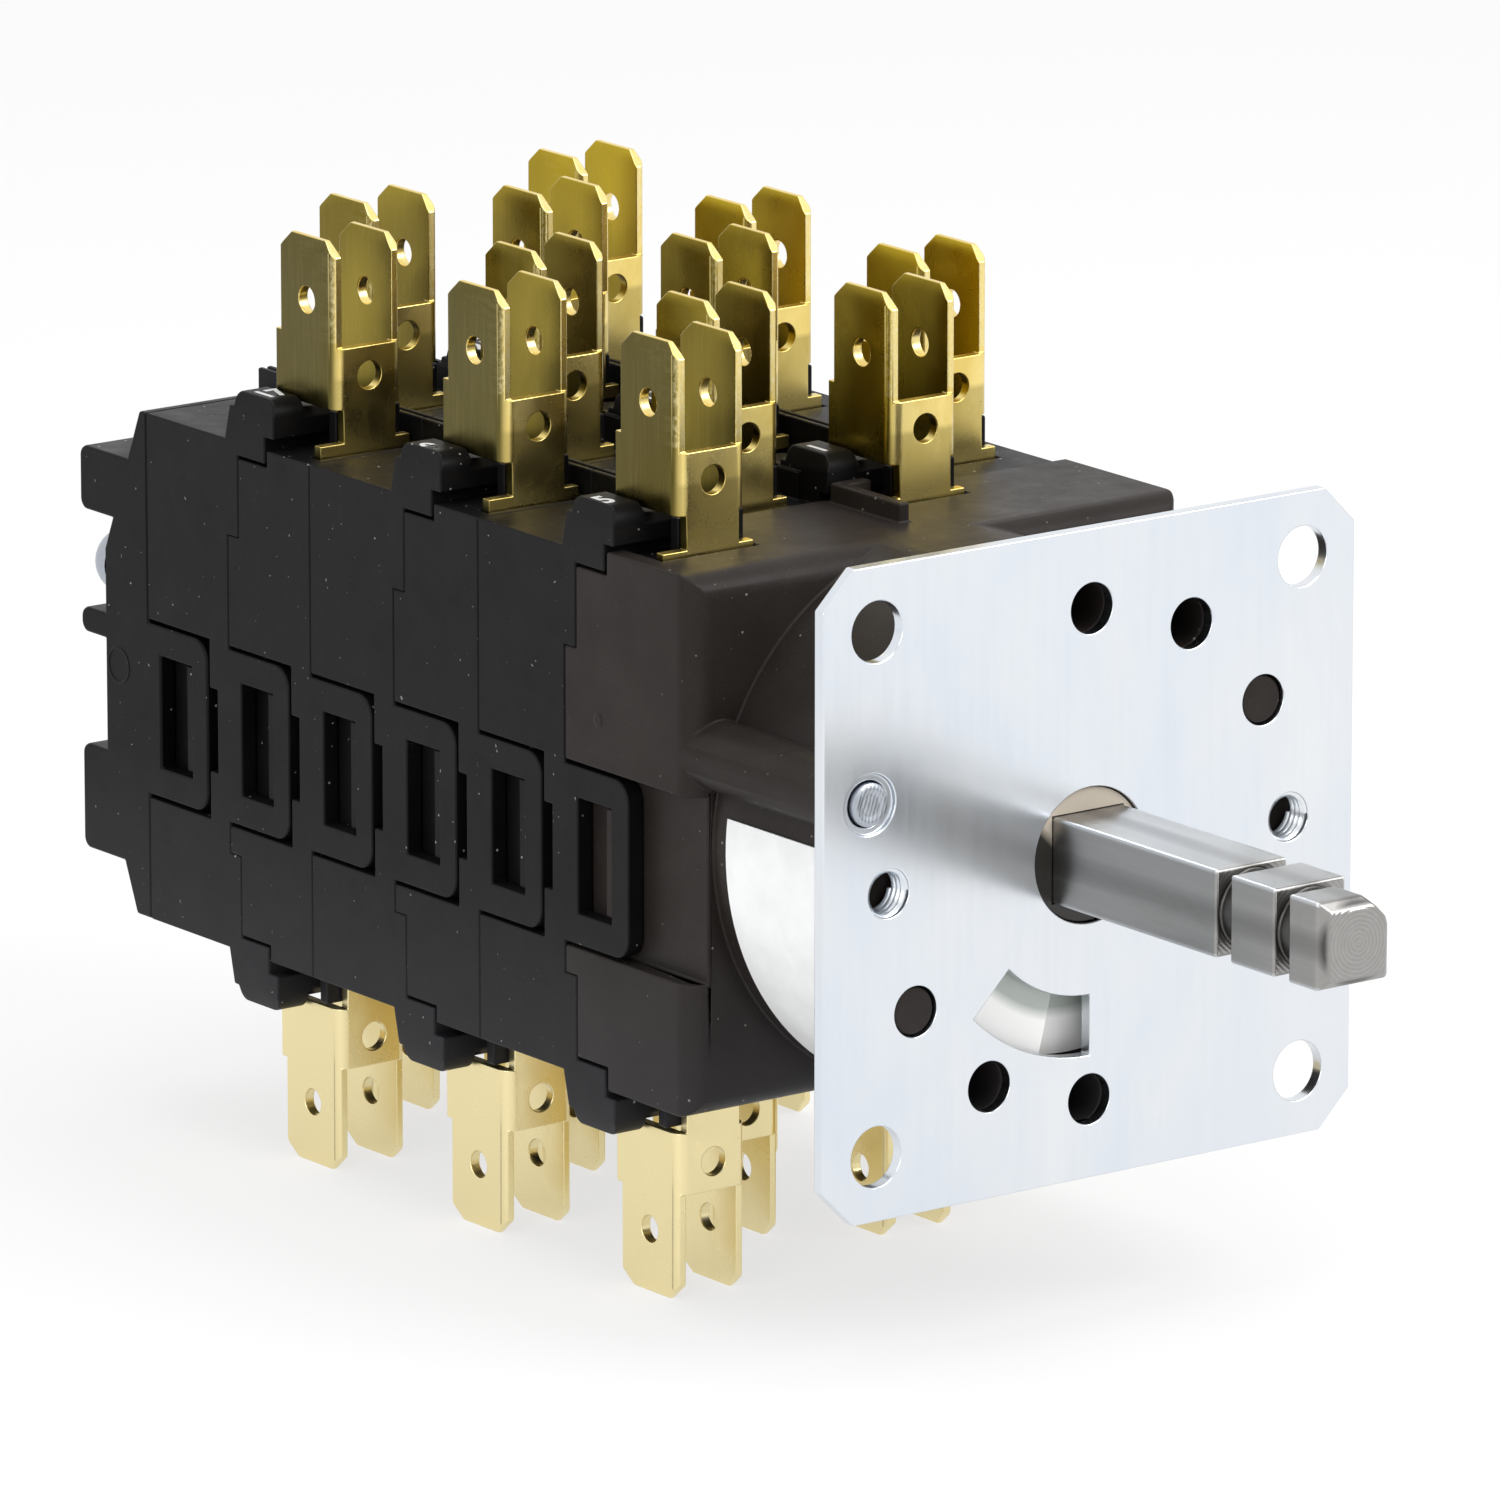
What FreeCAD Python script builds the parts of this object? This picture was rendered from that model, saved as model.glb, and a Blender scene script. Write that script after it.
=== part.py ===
"""Rotary cam switch with six contact stages behind a square front plate.

X points right and Z up as seen from the front, and Y points back into the switch.
The origin is the centre of the front plate's front face, on the shaft's axis.
"""
import FreeCAD, Part
import math
import operator
import os
import Sketcher

document = FreeCAD.newDocument("cam_switch")
sheet = document.addObject("Spreadsheet::Sheet", "Sizes")

STAGE_COUNT = 6

# Every driving size: its name in the sheet, its value in millimetres or degrees, and what it is.
SIZES = [
    ("plate_side", 45.0, "side of the square front plate"),
    ("plate_thickness", 1.0, "sheet steel of the front plate"),
    ("plate_corner", 2.6, "corner cut of the front plate"),
    ("mount_spacing", 36.0, "spacing of the four mounting holes"),
    ("mount_hole_diameter", 4.2, "mounting holes"),
    ("plate_bore_diameter", 9.4, "centre hole of the plate"),
    ("ring_radius", 17.0, "pitch radius of the small holes"),
    ("ring_hole_diameter", 3.5, "small holes on the ring"),
    ("ring_hole_angle", 30.0, "step between the small holes"),
    ("thread_diameter", 3.4, "core of the two threaded collars"),
    ("collar_diameter", 4.4, "outside of the threaded collars"),
    ("collar_depth", 1.2, "collar behind the plate"),
    ("window_inner_radius", 9.7, "inner edge of the sector window"),
    ("window_outer_radius", 13.9, "outer edge of the sector window"),
    ("window_start_angle", 225.0, "sector window, first edge"),
    ("window_end_angle", 270.0, "sector window, last edge"),
    ("shaft_side", 6.0, "square shaft across the flats"),
    ("shaft_reach", 28.4, "shaft in front of the plate"),
    ("shaft_end_length", 3.6, "last length of shaft, past the outer groove"),
    ("groove_width", 1.5, "turned grooves in the shaft"),
    ("groove_pitch", 6.1, "from one groove to the other"),
    ("groove_core_diameter", 5.2, "shaft inside the grooves"),
    ("shaft_chamfer", 0.7, "edge break at the shaft's end"),
    ("shaft_corner_cut", 1.5, "marking cut on one corner of the shaft's end"),
    ("shaft_play", 0.06, "all round the shaft in its square holes"),
    ("body_width", 42.0, "housings from side to side"),
    ("body_height", 36.8, "housings from top to bottom"),
    ("wall_side", 3.0, "side walls"),
    ("wall_top", 2.1, "top and bottom walls"),
    ("floor_thickness", 0.9, "floor at the front of each stage"),
    ("block_rise", 0.45, "latch housing's block above and below the stages"),
    ("turret_radius", 19.2, "round front of the latch housing"),
    ("turret_length", 15.6, "from the plate to the latch housing's block"),
    ("turret_wall", 4.9, "wall of the round front"),
    ("latch_depth", 13.0, "depth of the latch chamber"),
    ("front_fillet", 1.8, "rounded front edges of the block"),
    ("stage_pitch", 10.0, "length of one stage"),
    ("first_line", 31.1, "parting line behind the latch housing"),
    ("step_depth", 1.3, "step forward of every second parting line"),
    ("step_height", 11.5, "height where the step begins"),
    ("journal_radius", 5.4, "hubs that carry the rotor in the floors"),
    ("journal_play", 0.08, "running clearance of the hubs"),
    ("cam_mean_radius", 7.0, "cam on its slopes, half way"),
    ("cam_angle", 300.0, "direction of a cam's high side in the odd stages"),
    ("cam_throw", 1.2, "eccentricity of the cam, and travel of a contact slide"),
    ("cam_dwell", 0.85, "height of the cam's round parts over and under the mean"),
    ("cam_length", 6.8, "length of a cam's raised part"),
    ("cam_chamber_radius", 8.6, "room around the cams"),
    ("cam_wall", 1.2, "round wall about the cam chamber"),
    ("follower_play", 0.3, "from the cam to the slide's nose"),
    ("slide_height", 4.4, "height of a contact slide's stem"),
    ("slide_depth", 4.0, "contact slide, from front to back"),
    ("slide_play", 0.15, "room about a slide in its guides"),
    ("slide_tail", 16.2, "outer end of a closed slide"),
    ("yoke_height", 6.4, "broad end of the slide"),
    ("yoke_start", 12.6, "inner face of the slide's broad end"),
    ("bridge_start", 13.4, "inner face of the contact bridge"),
    ("bridge_length", 20.6, "contact bridge, from end to end"),
    ("bridge_depth", 3.6, "contact bridge, from front to back"),
    ("pip_diameter", 2.4, "contact pips"),
    ("pip_height", 0.5, "contact pips over the bridge"),
    ("pip_level", 8.5, "height of the contact pips"),
    ("contact_centre", 5.0, "middle of the contacts behind the stage's front"),
    ("outer_column", 15.1, "outer terminals from the middle"),
    ("inner_column", 5.7, "inner terminals from the middle"),
    ("terminal_first", 1.0, "first terminal behind its parting line"),
    ("terminal_second", 4.7, "second terminal behind its parting line"),
    ("strip", 0.8, "terminal sheet thickness"),
    ("blade_spacing", 5.0, "blades of one terminal, centre to centre"),
    ("blade_width", 6.3, "push-on blade"),
    ("blade_tip", 33.4, "blade tips above the axis"),
    ("blade_set_back", 0.3, "blades behind the terminal's web"),
    ("blade_chamfer", 1.1, "corners of the blade tips"),
    ("blade_bevel", 0.9, "length of the bevel at the blade tips"),
    ("blade_bevel_depth", 0.2, "bevel on each face of the blade tips"),
    ("blade_hole_diameter", 1.9, "detent hole of the blades"),
    ("blade_hole_drop", 4.5, "detent hole under the blade tip"),
    ("blade_heel", 0.6, "wider foot of the blades"),
    ("blade_heel_top", 26.3, "top of the blades' wider foot"),
    ("web_top", 25.9, "top of the terminal's web"),
    ("web_bottom", 21.5, "bottom of the terminal's web"),
    ("web_hole_diameter", 2.0, "hole in the web"),
    ("web_hole_level", 23.8, "height of the hole in the web"),
    ("web_bend", 1.0, "outside of the bends between web and blades"),
    ("strap_width", 4.4, "terminal strap above the housing"),
    ("foot_top", 19.2, "top of the terminal's broad foot"),
    ("foot_left", 2.0, "foot past the strap on the left"),
    ("foot_right", 1.2, "foot past the strap on the right"),
    ("foot_bottom", 16.5, "underside of the terminal's broad foot"),
    ("leg_top", 15.5, "top of the terminal's cross leg"),
    ("leg_bottom", 12.0, "underside of the terminal's cross leg"),
    ("contact_plate_start", 11.6, "inner face of the fixed contact plates"),
    ("contact_plate_width", 3.5, "fixed contact plates, from front to back"),
    ("contact_plate_end", 6.5, "lowest point of the fixed contact plates"),
    ("fixed_pip_height", 0.3, "contact pips over the fixed plates"),
    ("slot_play", 0.2, "room about a terminal in its slot"),
    ("rod_diameter", 3.0, "tie rods"),
    ("rod_across", 18.6, "tie rods from the middle, across"),
    ("rod_up", 6.3, "tie rods from the middle, up or down"),
    ("rod_play", 0.1, "room about a tie rod"),
    ("rod_boss_radius", 2.4, "material about a tie rod"),
    ("rod_head_radius", 2.4, "domed head of a tie rod"),
    ("rod_head_height", 2.6, "height of the domed head"),
    ("rivet_dimple_radius", 2.1, "dimple in the plate about a rod's end"),
    ("rivet_dimple_depth", 0.3, "depth of that dimple"),
    ("band_top", 3.5, "upper edge of the left side's groove for the snap loops"),
    ("band_bottom", -9.5, "lower edge of that groove"),
    ("band_depth", 1.4, "depth of the groove"),
    ("loop_play", 0.25, "room about a snap loop"),
    ("loop_length", 7.3, "snap loop in front of its parting line"),
    ("loop_radius", 1.6, "front corners of a snap loop"),
    ("loop_window_front", 5.3, "front edge of the loop's window"),
    ("loop_window_rear", 1.5, "rear edge of the loop's window"),
    ("loop_bar", 2.2, "loop above and below its window"),
    ("catch_length", 1.1, "catch inside a loop's window"),
    ("catch_height", 0.9, "catch over the groove's floor"),
    ("notch_length", 1.2, "release notch in front of a loop"),
    ("notch_height", 6.0, "release notch, from top to bottom"),
    ("lug_start", 3.3, "marker lug behind its terminal's web"),
    ("lug_depth", 6.0, "marker lug, from front to back"),
    ("lug_offset", 5.9, "left edge of a marker lug from its terminal's middle"),
    ("lug_length", 2.7, "marker lug, across"),
    ("lug_height", 3.6, "marker lug over the housing"),
    ("lug_seat", 1.0, "housing lowered under a marker lug"),
    ("lug_overhang", 1.1, "marker lug in front of its foot"),
    ("lug_clearance", 0.9, "room under the front of a marker lug"),
    ("lug_round", 1.2, "rounded front of a marker lug's crown"),
    ("lug_shelf", 2.5, "small shelf in a marker lug's rear, over the housing"),
    ("lug_shelf_set", 0.6, "that shelf in front of the lug's rear foot"),
    ("lug_crown_set", 1.1, "crown of a marker lug in front of its rear foot"),
    ("lug_lean", 0.4, "lean of a marker lug's left side above the shelf"),
    ("bar_height", 2.8, "low bar beside a marker lug, over the housing"),
    ("support_reach", 3.3, "wall behind a terminal's strap, from the strap's middle"),
    ("support_top", 21.2, "top of that wall"),
    ("support_depth", 0.9, "thickness of that wall"),
    ("rib_top", 20.4, "top of the ribs along the stages"),
    ("rib_width", 0.45, "ribs of a pair"),
    ("rib_gap", 0.3, "between the ribs of a pair"),
    ("rib_left", -11.4, "left edge of the left pair of ribs on top"),
    ("rib_right", 9.4, "left edge of the right pair of ribs on top"),
    ("rib_centre_left", -0.4, "left edge of the middle rib"),
    ("rib_centre_width", 0.9, "middle rib"),
    ("barrier_top", 20.25, "top of the barrier on the latch housing"),
    ("barrier_left", -0.2, "left side of that barrier"),
    ("barrier_width", 0.9, "thickness of that barrier"),
    ("barrier_front", 21.0, "front of that barrier"),
    ("barrier_rear", 28.9, "rear of that barrier"),
    ("barrier_arm", 2.0, "short arm at the barrier's rear, past its right side"),
    ("barrier_arm_depth", 1.0, "thickness of that arm"),
    ("cover_thickness", 5.4, "rear cover"),
    ("cover_block", 3.0, "blocks on the rear cover"),
    ("cover_block_width", 12.0, "blocks on the rear cover, across"),
    ("cover_block_root", 1.0, "start of those blocks inside the cover"),
    ("cover_block_round", 0.8, "rounded rear edges of the blocks"),
    ("cover_upper_top", 14.65, "upper block of the rear cover, upper face"),
    ("cover_upper_bottom", 10.0, "upper block of the rear cover, lower face"),
    ("cover_rib_top", 2.9, "small rib of the rear cover, upper face"),
    ("cover_rib_bottom", 1.05, "small rib of the rear cover, lower face"),
    ("cover_lower_top", -7.1, "lower block of the rear cover, upper face"),
    ("cover_lower_bottom", -14.8, "lower block of the rear cover, lower face"),
    ("cover_edge_top", 0.9, "cover's thickness at its upper edge"),
    ("cover_edge_bottom", 1.8, "cover's thickness at its lower edge"),
    ("cover_flat_top", 7.6, "upper end of the cover's flat rear"),
    ("cover_flat_bottom", -9.8, "lower end of the cover's flat rear"),
    ("label_thickness", 0.15, "label on the round front"),
    ("label_start_angle", 173.0, "label, upper end"),
    ("label_end_angle", 236.0, "label, lower end"),
    ("label_margin", 1.6, "label from the ends of the round front"),
    ("wheel_hub_play", 0.1, "white hub in the plate's centre hole"),
    ("wheel_radius", 9.0, "points of the index wheel"),
    ("wheel_valley", 7.2, "valleys of the index wheel"),
    ("wheel_start", 6.5, "front of the index wheel behind the plate's face"),
    ("wheel_length", 4.5, "length of the index wheel"),
    ("stop_inner_radius", 9.6, "inside of the stop ring"),
    ("stop_depth", 3.4, "stop ring, from front to back"),
    ("stop_play", 0.25, "room about the stop arm and the stop ring"),
    ("throw_angle", 60.0, "turn from the one switch position to the other"),
    ("arm_angle", 20.0, "width of the stop arm"),
    ("stop_margin", 1.0, "angle left between the stop arm and an end of the ring's gap"),
    ("stop_step_angle", 256.0, "step of the stop ring, seen in the window"),
    ("spring_strip", 0.4, "index springs"),
    ("spring_width", 3.6, "index springs, from front to back"),
    ("spring_span", 8.0, "index springs, half of their length"),
    ("spring_post", 2.6, "posts that hold the ends of the index springs"),
]


def combined(first, sign, second):
    """Joins two sizes by an arithmetic sign, both as a number and as a formula."""
    signs = {"+": operator.add, "-": operator.sub, "*": operator.mul, "/": operator.truediv}
    first = as_size(first)
    second = as_size(second)
    value = signs[sign](first.value, second.value)
    return Size(value, "(" + first.formula + " " + sign + " " + second.formula + ")")


class Size:
    """A length, angle or number, kept with the sheet formula that gives it."""

    def __init__(self, value, formula):
        self.value = float(value)
        self.formula = formula

    def __add__(self, other):
        return combined(self, "+", other)

    def __radd__(self, other):
        return combined(other, "+", self)

    def __sub__(self, other):
        return combined(self, "-", other)

    def __rsub__(self, other):
        return combined(other, "-", self)

    def __mul__(self, other):
        return combined(self, "*", other)

    def __rmul__(self, other):
        return combined(other, "*", self)

    def __truediv__(self, other):
        return combined(self, "/", other)

    def __neg__(self):
        return combined(0.0, "-", self)


def as_size(number):
    """Turns a bare number into a size; a size stays as it is."""
    if isinstance(number, Size):
        return number
    return Size(number, "(" + repr(float(number)) + ")")


def cosine(angle):
    """Cosine of an angle in degrees, as a size."""
    angle = as_size(angle)
    return Size(math.cos(math.radians(angle.value)), "cos(" + angle.formula + ")")


def sine(angle):
    """Sine of an angle in degrees, as a size."""
    angle = as_size(angle)
    return Size(math.sin(math.radians(angle.value)), "sin(" + angle.formula + ")")


def fill_sheet():
    """Writes the driving sizes into the sheet and hands them back by name."""
    named = {}
    for row, (name, value, note) in enumerate(SIZES, start=1):
        sheet.set("A" + str(row), name)
        sheet.set("B" + str(row), repr(value))
        sheet.set("C" + str(row), note)
        sheet.setAlias("B" + str(row), name)
        named[name] = Size(value, "Sizes." + name)
    document.recompute()
    return named


s = fill_sheet()
ZERO = as_size(0.0)

half_width = s["body_width"] / 2
half_height = s["body_height"] / 2
block_front = s["plate_thickness"] + s["turret_length"]
inner_half_width = half_width - s["wall_side"]
inner_half_height = half_height - s["wall_top"]
first_stage_front = s["first_line"] - s["stage_pitch"]
last_line = first_stage_front + STAGE_COUNT * s["stage_pitch"]
journal_bore = s["journal_radius"] + s["journal_play"]
square_hole = s["shaft_side"] + 2 * s["shaft_play"]
rod_bore = s["rod_diameter"] / 2 + s["rod_play"]
cam_low = s["cam_mean_radius"] - s["cam_dwell"]
cam_high = s["cam_mean_radius"] + s["cam_dwell"]


def origin_plane(body, role):
    """A body's own origin plane, by its role."""
    for feature in body.Origin.OriginFeatures:
        if feature.Role == role:
            return feature
    raise RuntimeError("no plane " + role)


def new_body(name):
    """Starts an empty sub-part whose label is its file's name."""
    body = document.addObject("PartDesign::Body", name)
    body.Label = name
    return body


def new_sketch(body, name, role, offset=ZERO):
    """Starts a sketch on a body's own plane, moved along +X, +Y or +Z by the offset."""
    sketch = body.newObject("Sketcher::SketchObject", body.Name + "_" + name)
    sketch.AttachmentSupport = (origin_plane(body, role), [""])
    sketch.MapMode = "FlatFace"
    along = -offset if role == "XZ_Plane" else offset
    sketch.setExpression(".AttachmentOffset.Base.z", along.formula)
    return sketch


def hold(sketch, kind, *target, size):
    """Adds a dimension to a sketch and binds it to its formula."""
    size = as_size(size)
    index = sketch.addConstraint(Sketcher.Constraint(kind, *target, size.value))
    sketch.setExpression("Constraints[" + str(index) + "]", size.formula)


def hold_point(sketch, geometry, point, place):
    """Fixes one point of a sketch by its two distances from the origin."""
    hold(sketch, "DistanceX", -1, 1, geometry, point, size=place[0])
    hold(sketch, "DistanceY", -1, 1, geometry, point, size=place[1])


def draw_polygon(sketch, points):
    """Draws a closed outline of straight lines through the given points."""
    points = [(as_size(x), as_size(y)) for x, y in points]
    first = sketch.GeometryCount
    count = len(points)
    places = [FreeCAD.Vector(x.value, y.value, 0) for x, y in points]
    for index in range(count):
        line = Part.LineSegment(places[index], places[(index + 1) % count])
        sketch.addGeometry(line, False)
    for index in range(count):
        following = first + (index + 1) % count
        sketch.addConstraint(Sketcher.Constraint("Coincident", first + index, 2, following, 1))
    for index in range(count):
        hold_point(sketch, first + index, 1, points[index])


def draw_box(sketch, low, high):
    """Draws a rectangle between two opposite corners."""
    draw_polygon(sketch, [low, (high[0], low[1]), high, (low[0], high[1])])


def draw_circle(sketch, centre, radius):
    """Draws a circle with its centre and radius held."""
    centre = (as_size(centre[0]), as_size(centre[1]))
    radius = as_size(radius)
    middle = FreeCAD.Vector(centre[0].value, centre[1].value, 0)
    shape = Part.Circle(middle, FreeCAD.Vector(0, 0, 1), radius.value)
    index = sketch.addGeometry(shape, False)
    hold(sketch, "Radius", index, size=radius)
    hold_point(sketch, index, 3, centre)


def hold_on_circle(sketch, geometry, point, radius, angle):
    """Fixes where an arc about the origin ends, by the distance that moves most there."""
    if abs(math.sin(math.radians(angle.value))) > math.sqrt(0.5):
        hold(sketch, "DistanceX", -1, 1, geometry, point, size=radius * cosine(angle))
    else:
        hold(sketch, "DistanceY", -1, 1, geometry, point, size=radius * sine(angle))


def draw_sector(sketch, inner, outer, start, end):
    """Draws a ring sector about the origin between two angles in degrees."""
    start = as_size(start)
    end = as_size(end)
    first = sketch.GeometryCount
    middle = FreeCAD.Vector(0, 0, 0)
    up = FreeCAD.Vector(0, 0, 1)
    turn = (math.radians(start.value), math.radians(end.value))
    for radius in (inner, outer):
        sketch.addGeometry(Part.ArcOfCircle(Part.Circle(middle, up, radius.value), *turn), False)
    corners = []
    for angle in (start, end):
        ray = FreeCAD.Vector(cosine(angle).value, sine(angle).value, 0)
        corners.append((ray * inner.value, ray * outer.value))
    for low, high in corners:
        sketch.addGeometry(Part.LineSegment(low, high), False)
    for arc, radius in ((first, inner), (first + 1, outer)):
        sketch.addConstraint(Sketcher.Constraint("Coincident", arc, 3, -1, 1))
        hold(sketch, "Radius", arc, size=radius)
        hold_on_circle(sketch, arc, 1, radius, start)
        hold_on_circle(sketch, arc, 2, radius, end)
    for line, point in ((first + 2, 1), (first + 3, 2)):
        sketch.addConstraint(Sketcher.Constraint("Coincident", line, 1, first, point))
        sketch.addConstraint(Sketcher.Constraint("Coincident", line, 2, first + 1, point))


def finish_feature(body, feature, length, towards_normal):
    """Sets how far and which way a pad or pocket goes."""
    if length is None:
        feature.Type = "ThroughAll"
        feature.Midplane = True
    else:
        feature.Length = length.value
        feature.setExpression("Length", length.formula)
        feature.Reversed = towards_normal
    body.Tip = feature
    return feature


def pad(body, sketch, length, forward=True):
    """Adds material along +X, +Y or +Z, or against it when forward is False."""
    feature = body.newObject("PartDesign::Pad", sketch.Name + "_pad")
    feature.Profile = sketch
    on_front = sketch.AttachmentSupport[0][0].Role == "XZ_Plane"
    return finish_feature(body, feature, as_size(length), forward == on_front)


def cut(body, sketch, length=None, forward=True):
    """Removes material along +X, +Y or +Z, against it, or right through with no length."""
    feature = body.newObject("PartDesign::Pocket", sketch.Name + "_cut")
    feature.Profile = sketch
    on_front = sketch.AttachmentSupport[0][0].Role == "XZ_Plane"
    size = None if length is None else as_size(length)
    return finish_feature(body, feature, size, forward != on_front)


def front_view(body, name, depth):
    """A sketch that faces the front of the switch: X across and Z up, at a depth along Y."""
    return new_sketch(body, name, "XZ_Plane", as_size(depth))


def side_view(body, name, across):
    """A sketch that faces the side of the switch: Y across and Z up, at a place along X."""
    return new_sketch(body, name, "YZ_Plane", as_size(across))


def edges_where(feature, test):
    """Names the edges of a feature whose bounding box passes the test."""
    document.recompute()
    found = []
    for number, edge in enumerate(feature.Shape.Edges, start=1):
        if test(edge.BoundBox):
            found.append("Edge" + str(number))
    return found


def soften(body, kind, name, size, test):
    """Rounds or chamfers the edges of the body's last feature that pass the test."""
    base = body.Tip
    edges = edges_where(base, test)
    feature = body.newObject("PartDesign::" + kind, body.Name + "_" + name)
    feature.Base = (base, edges)
    setting = "Radius" if kind == "Fillet" else "Size"
    setattr(feature, setting, size.value)
    feature.setExpression(setting, size.formula)
    body.Tip = feature
    return feature


def near(value, target):
    """Whether a place on a shape is at a size."""
    return abs(value - as_size(target).value) < 0.01


def both_sides(low, high):
    """Two boxes in a front view, the second turned half way round the shaft's axis."""
    turned_low = (-high[0], -high[1])
    turned_high = (-low[0], -low[1])
    return [(low, high), (turned_low, turned_high)]


def copy_of(master, name):
    """Another piece of the same form as the master."""
    body = new_body(name)
    copied = body.newObject("PartDesign::FeatureBase", name + "_form")
    copied.BaseFeature = master
    body.Tip = copied
    return body


def place(body, across=ZERO, depth=ZERO, turned=False):
    """Puts a sub-part at its place, turned half way round the shaft's axis if asked."""
    turn = FreeCAD.Rotation(FreeCAD.Vector(0, 1, 0), 180.0 if turned else 0.0)
    body.Placement = FreeCAD.Placement(FreeCAD.Vector(0, 0, 0), turn)
    body.setExpression(".Placement.Base.x", as_size(across).formula)
    body.setExpression(".Placement.Base.y", as_size(depth).formula)


def rod_places():
    """The two tie rods, opposite each other."""
    return [(-s["rod_across"], s["rod_up"]), (s["rod_across"], -s["rod_up"])]


def ring_place(angle):
    """A place on the ring of small holes."""
    return (s["ring_radius"] * cosine(angle), s["ring_radius"] * sine(angle))


def make_mounting_plate():
    """The square steel plate, its holes, threaded collars and sector window."""
    body = new_body("mounting_plate")
    edge = s["plate_side"] / 2
    inner = edge - s["plate_corner"]
    sheet_outline = front_view(body, "outline", ZERO)
    corners = [(-edge, -inner), (-inner, -edge), (inner, -edge), (edge, -inner)]
    corners += [(edge, inner), (inner, edge), (-inner, edge), (-edge, inner)]
    draw_polygon(sheet_outline, corners)
    pad(body, sheet_outline, s["plate_thickness"])
    collars = front_view(body, "collars", ZERO)
    for side in (0.0, 180.0):
        draw_circle(collars, ring_place(side), s["collar_diameter"] / 2)
    pad(body, collars, s["plate_thickness"] + s["collar_depth"])
    dimples = front_view(body, "dimples", ZERO)
    for centre in rod_places():
        draw_circle(dimples, centre, s["rivet_dimple_radius"])
    cut(body, dimples, s["rivet_dimple_depth"])
    holes = front_view(body, "holes", ZERO)
    half_spacing = s["mount_spacing"] / 2
    for across in (-half_spacing, half_spacing):
        for up in (-half_spacing, half_spacing):
            draw_circle(holes, (across, up), s["mount_hole_diameter"] / 2)
    draw_circle(holes, (ZERO, ZERO), s["plate_bore_diameter"] / 2)
    for step in (1, 2, 3):
        for start in (0.0, 180.0):
            centre = ring_place(start + step * s["ring_hole_angle"])
            draw_circle(holes, centre, s["ring_hole_diameter"] / 2)
    for side in (0.0, 180.0):
        draw_circle(holes, ring_place(side), s["thread_diameter"] / 2)
    for centre in rod_places():
        draw_circle(holes, centre, rod_bore)
    radii = (s["window_inner_radius"], s["window_outer_radius"])
    draw_sector(holes, *radii, s["window_start_angle"], s["window_end_angle"])
    cut(body, holes)
    place(body)


def make_drive_shaft():
    """The square steel shaft, from its grooved end to the rear cover."""
    body = new_body("drive_shaft")
    half = s["shaft_side"] / 2
    bar = front_view(body, "bar", -s["shaft_reach"])
    draw_box(bar, (-half, -half), (half, half))
    pad(body, bar, s["shaft_reach"] + last_line + s["cover_thickness"] / 2)
    front_face = -s["shaft_reach"]
    tip_at = front_face.value
    soften(body, "Chamfer", "end", s["shaft_chamfer"],
           lambda box: near(box.YMin, tip_at) and near(box.YMax, tip_at))
    corner = front_view(body, "corner", front_face)
    reach = half + s["shaft_chamfer"]
    low = half - s["shaft_corner_cut"]
    draw_polygon(corner, [(low, reach), (reach, low), (reach, reach)])
    cut(body, corner, s["shaft_end_length"])
    for number in (0, 1):
        start = front_face + s["shaft_end_length"] + number * s["groove_pitch"]
        groove = front_view(body, "groove" + str(number + 1), start)
        draw_box(groove, (-2 * half, -2 * half), (2 * half, 2 * half))
        draw_circle(groove, (ZERO, ZERO), s["groove_core_diameter"] / 2)
        cut(body, groove, s["groove_width"])
    place(body)


def cut_rod_bores(body, start, length):
    """The two bores for the tie rods."""
    bores = front_view(body, "rod_bores", start)
    for centre in rod_places():
        draw_circle(bores, centre, rod_bore)
    cut(body, bores, length)


def cut_side_grooves(body, start, length):
    """The grooves in both sides, in which the snap loops of the next piece lie."""
    grooves = front_view(body, "side_grooves", start)
    depth = half_width - s["band_depth"]
    low = (-half_width - 1, s["band_bottom"])
    for corner, opposite in both_sides(low, (-depth, s["band_top"])):
        draw_box(grooves, corner, opposite)
    cut(body, grooves, length)


def add_catches(body, line):
    """The catches in the side grooves that hold the snap loops of the next piece."""
    height = s["band_top"] - s["band_bottom"] - 2 * (s["loop_bar"] + s["loop_play"] + s["slot_play"])
    middle = (s["band_top"] + s["band_bottom"]) / 2
    floor_at = half_width - s["band_depth"]
    catches = front_view(body, "catches", line - s["loop_window_front"] + s["slot_play"])
    low = (-floor_at - s["catch_height"], middle - height / 2)
    high = (-floor_at + s["slot_play"], middle + height / 2)
    for corner, opposite in both_sides(low, high):
        draw_box(catches, corner, opposite)
    pad(body, catches, s["catch_length"])


def add_snap_loops(body, root):
    """The snap loops on both sides, which reach forward over the piece in front."""
    top = s["band_top"] - s["loop_play"]
    bottom = s["band_bottom"] + s["loop_play"]
    inside = half_width - s["band_depth"] + s["loop_play"] / 2
    thickness = half_width - inside
    for turn, edge, upper, lower in ((-1, "left", top, bottom), (1, "right", -bottom, -top)):
        outline = side_view(body, "loop_" + edge, turn * inside)
        draw_box(outline, (-s["loop_length"], lower), (root, upper))
        pad(body, outline, thickness, forward=turn > 0)
        window = side_view(body, "loop_window_" + edge, turn * inside)
        low = (-s["loop_window_front"], lower + s["loop_bar"])
        draw_box(window, low, (-s["loop_window_rear"], upper - s["loop_bar"]))
        cut(body, window, thickness, forward=turn > 0)
    front_at = -s["loop_length"].value
    soften(body, "Fillet", "loop_corners", s["loop_radius"],
           lambda box: near(box.YMin, front_at) and near(box.YMax, front_at)
           and near(box.ZLength, 0.0))


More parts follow.
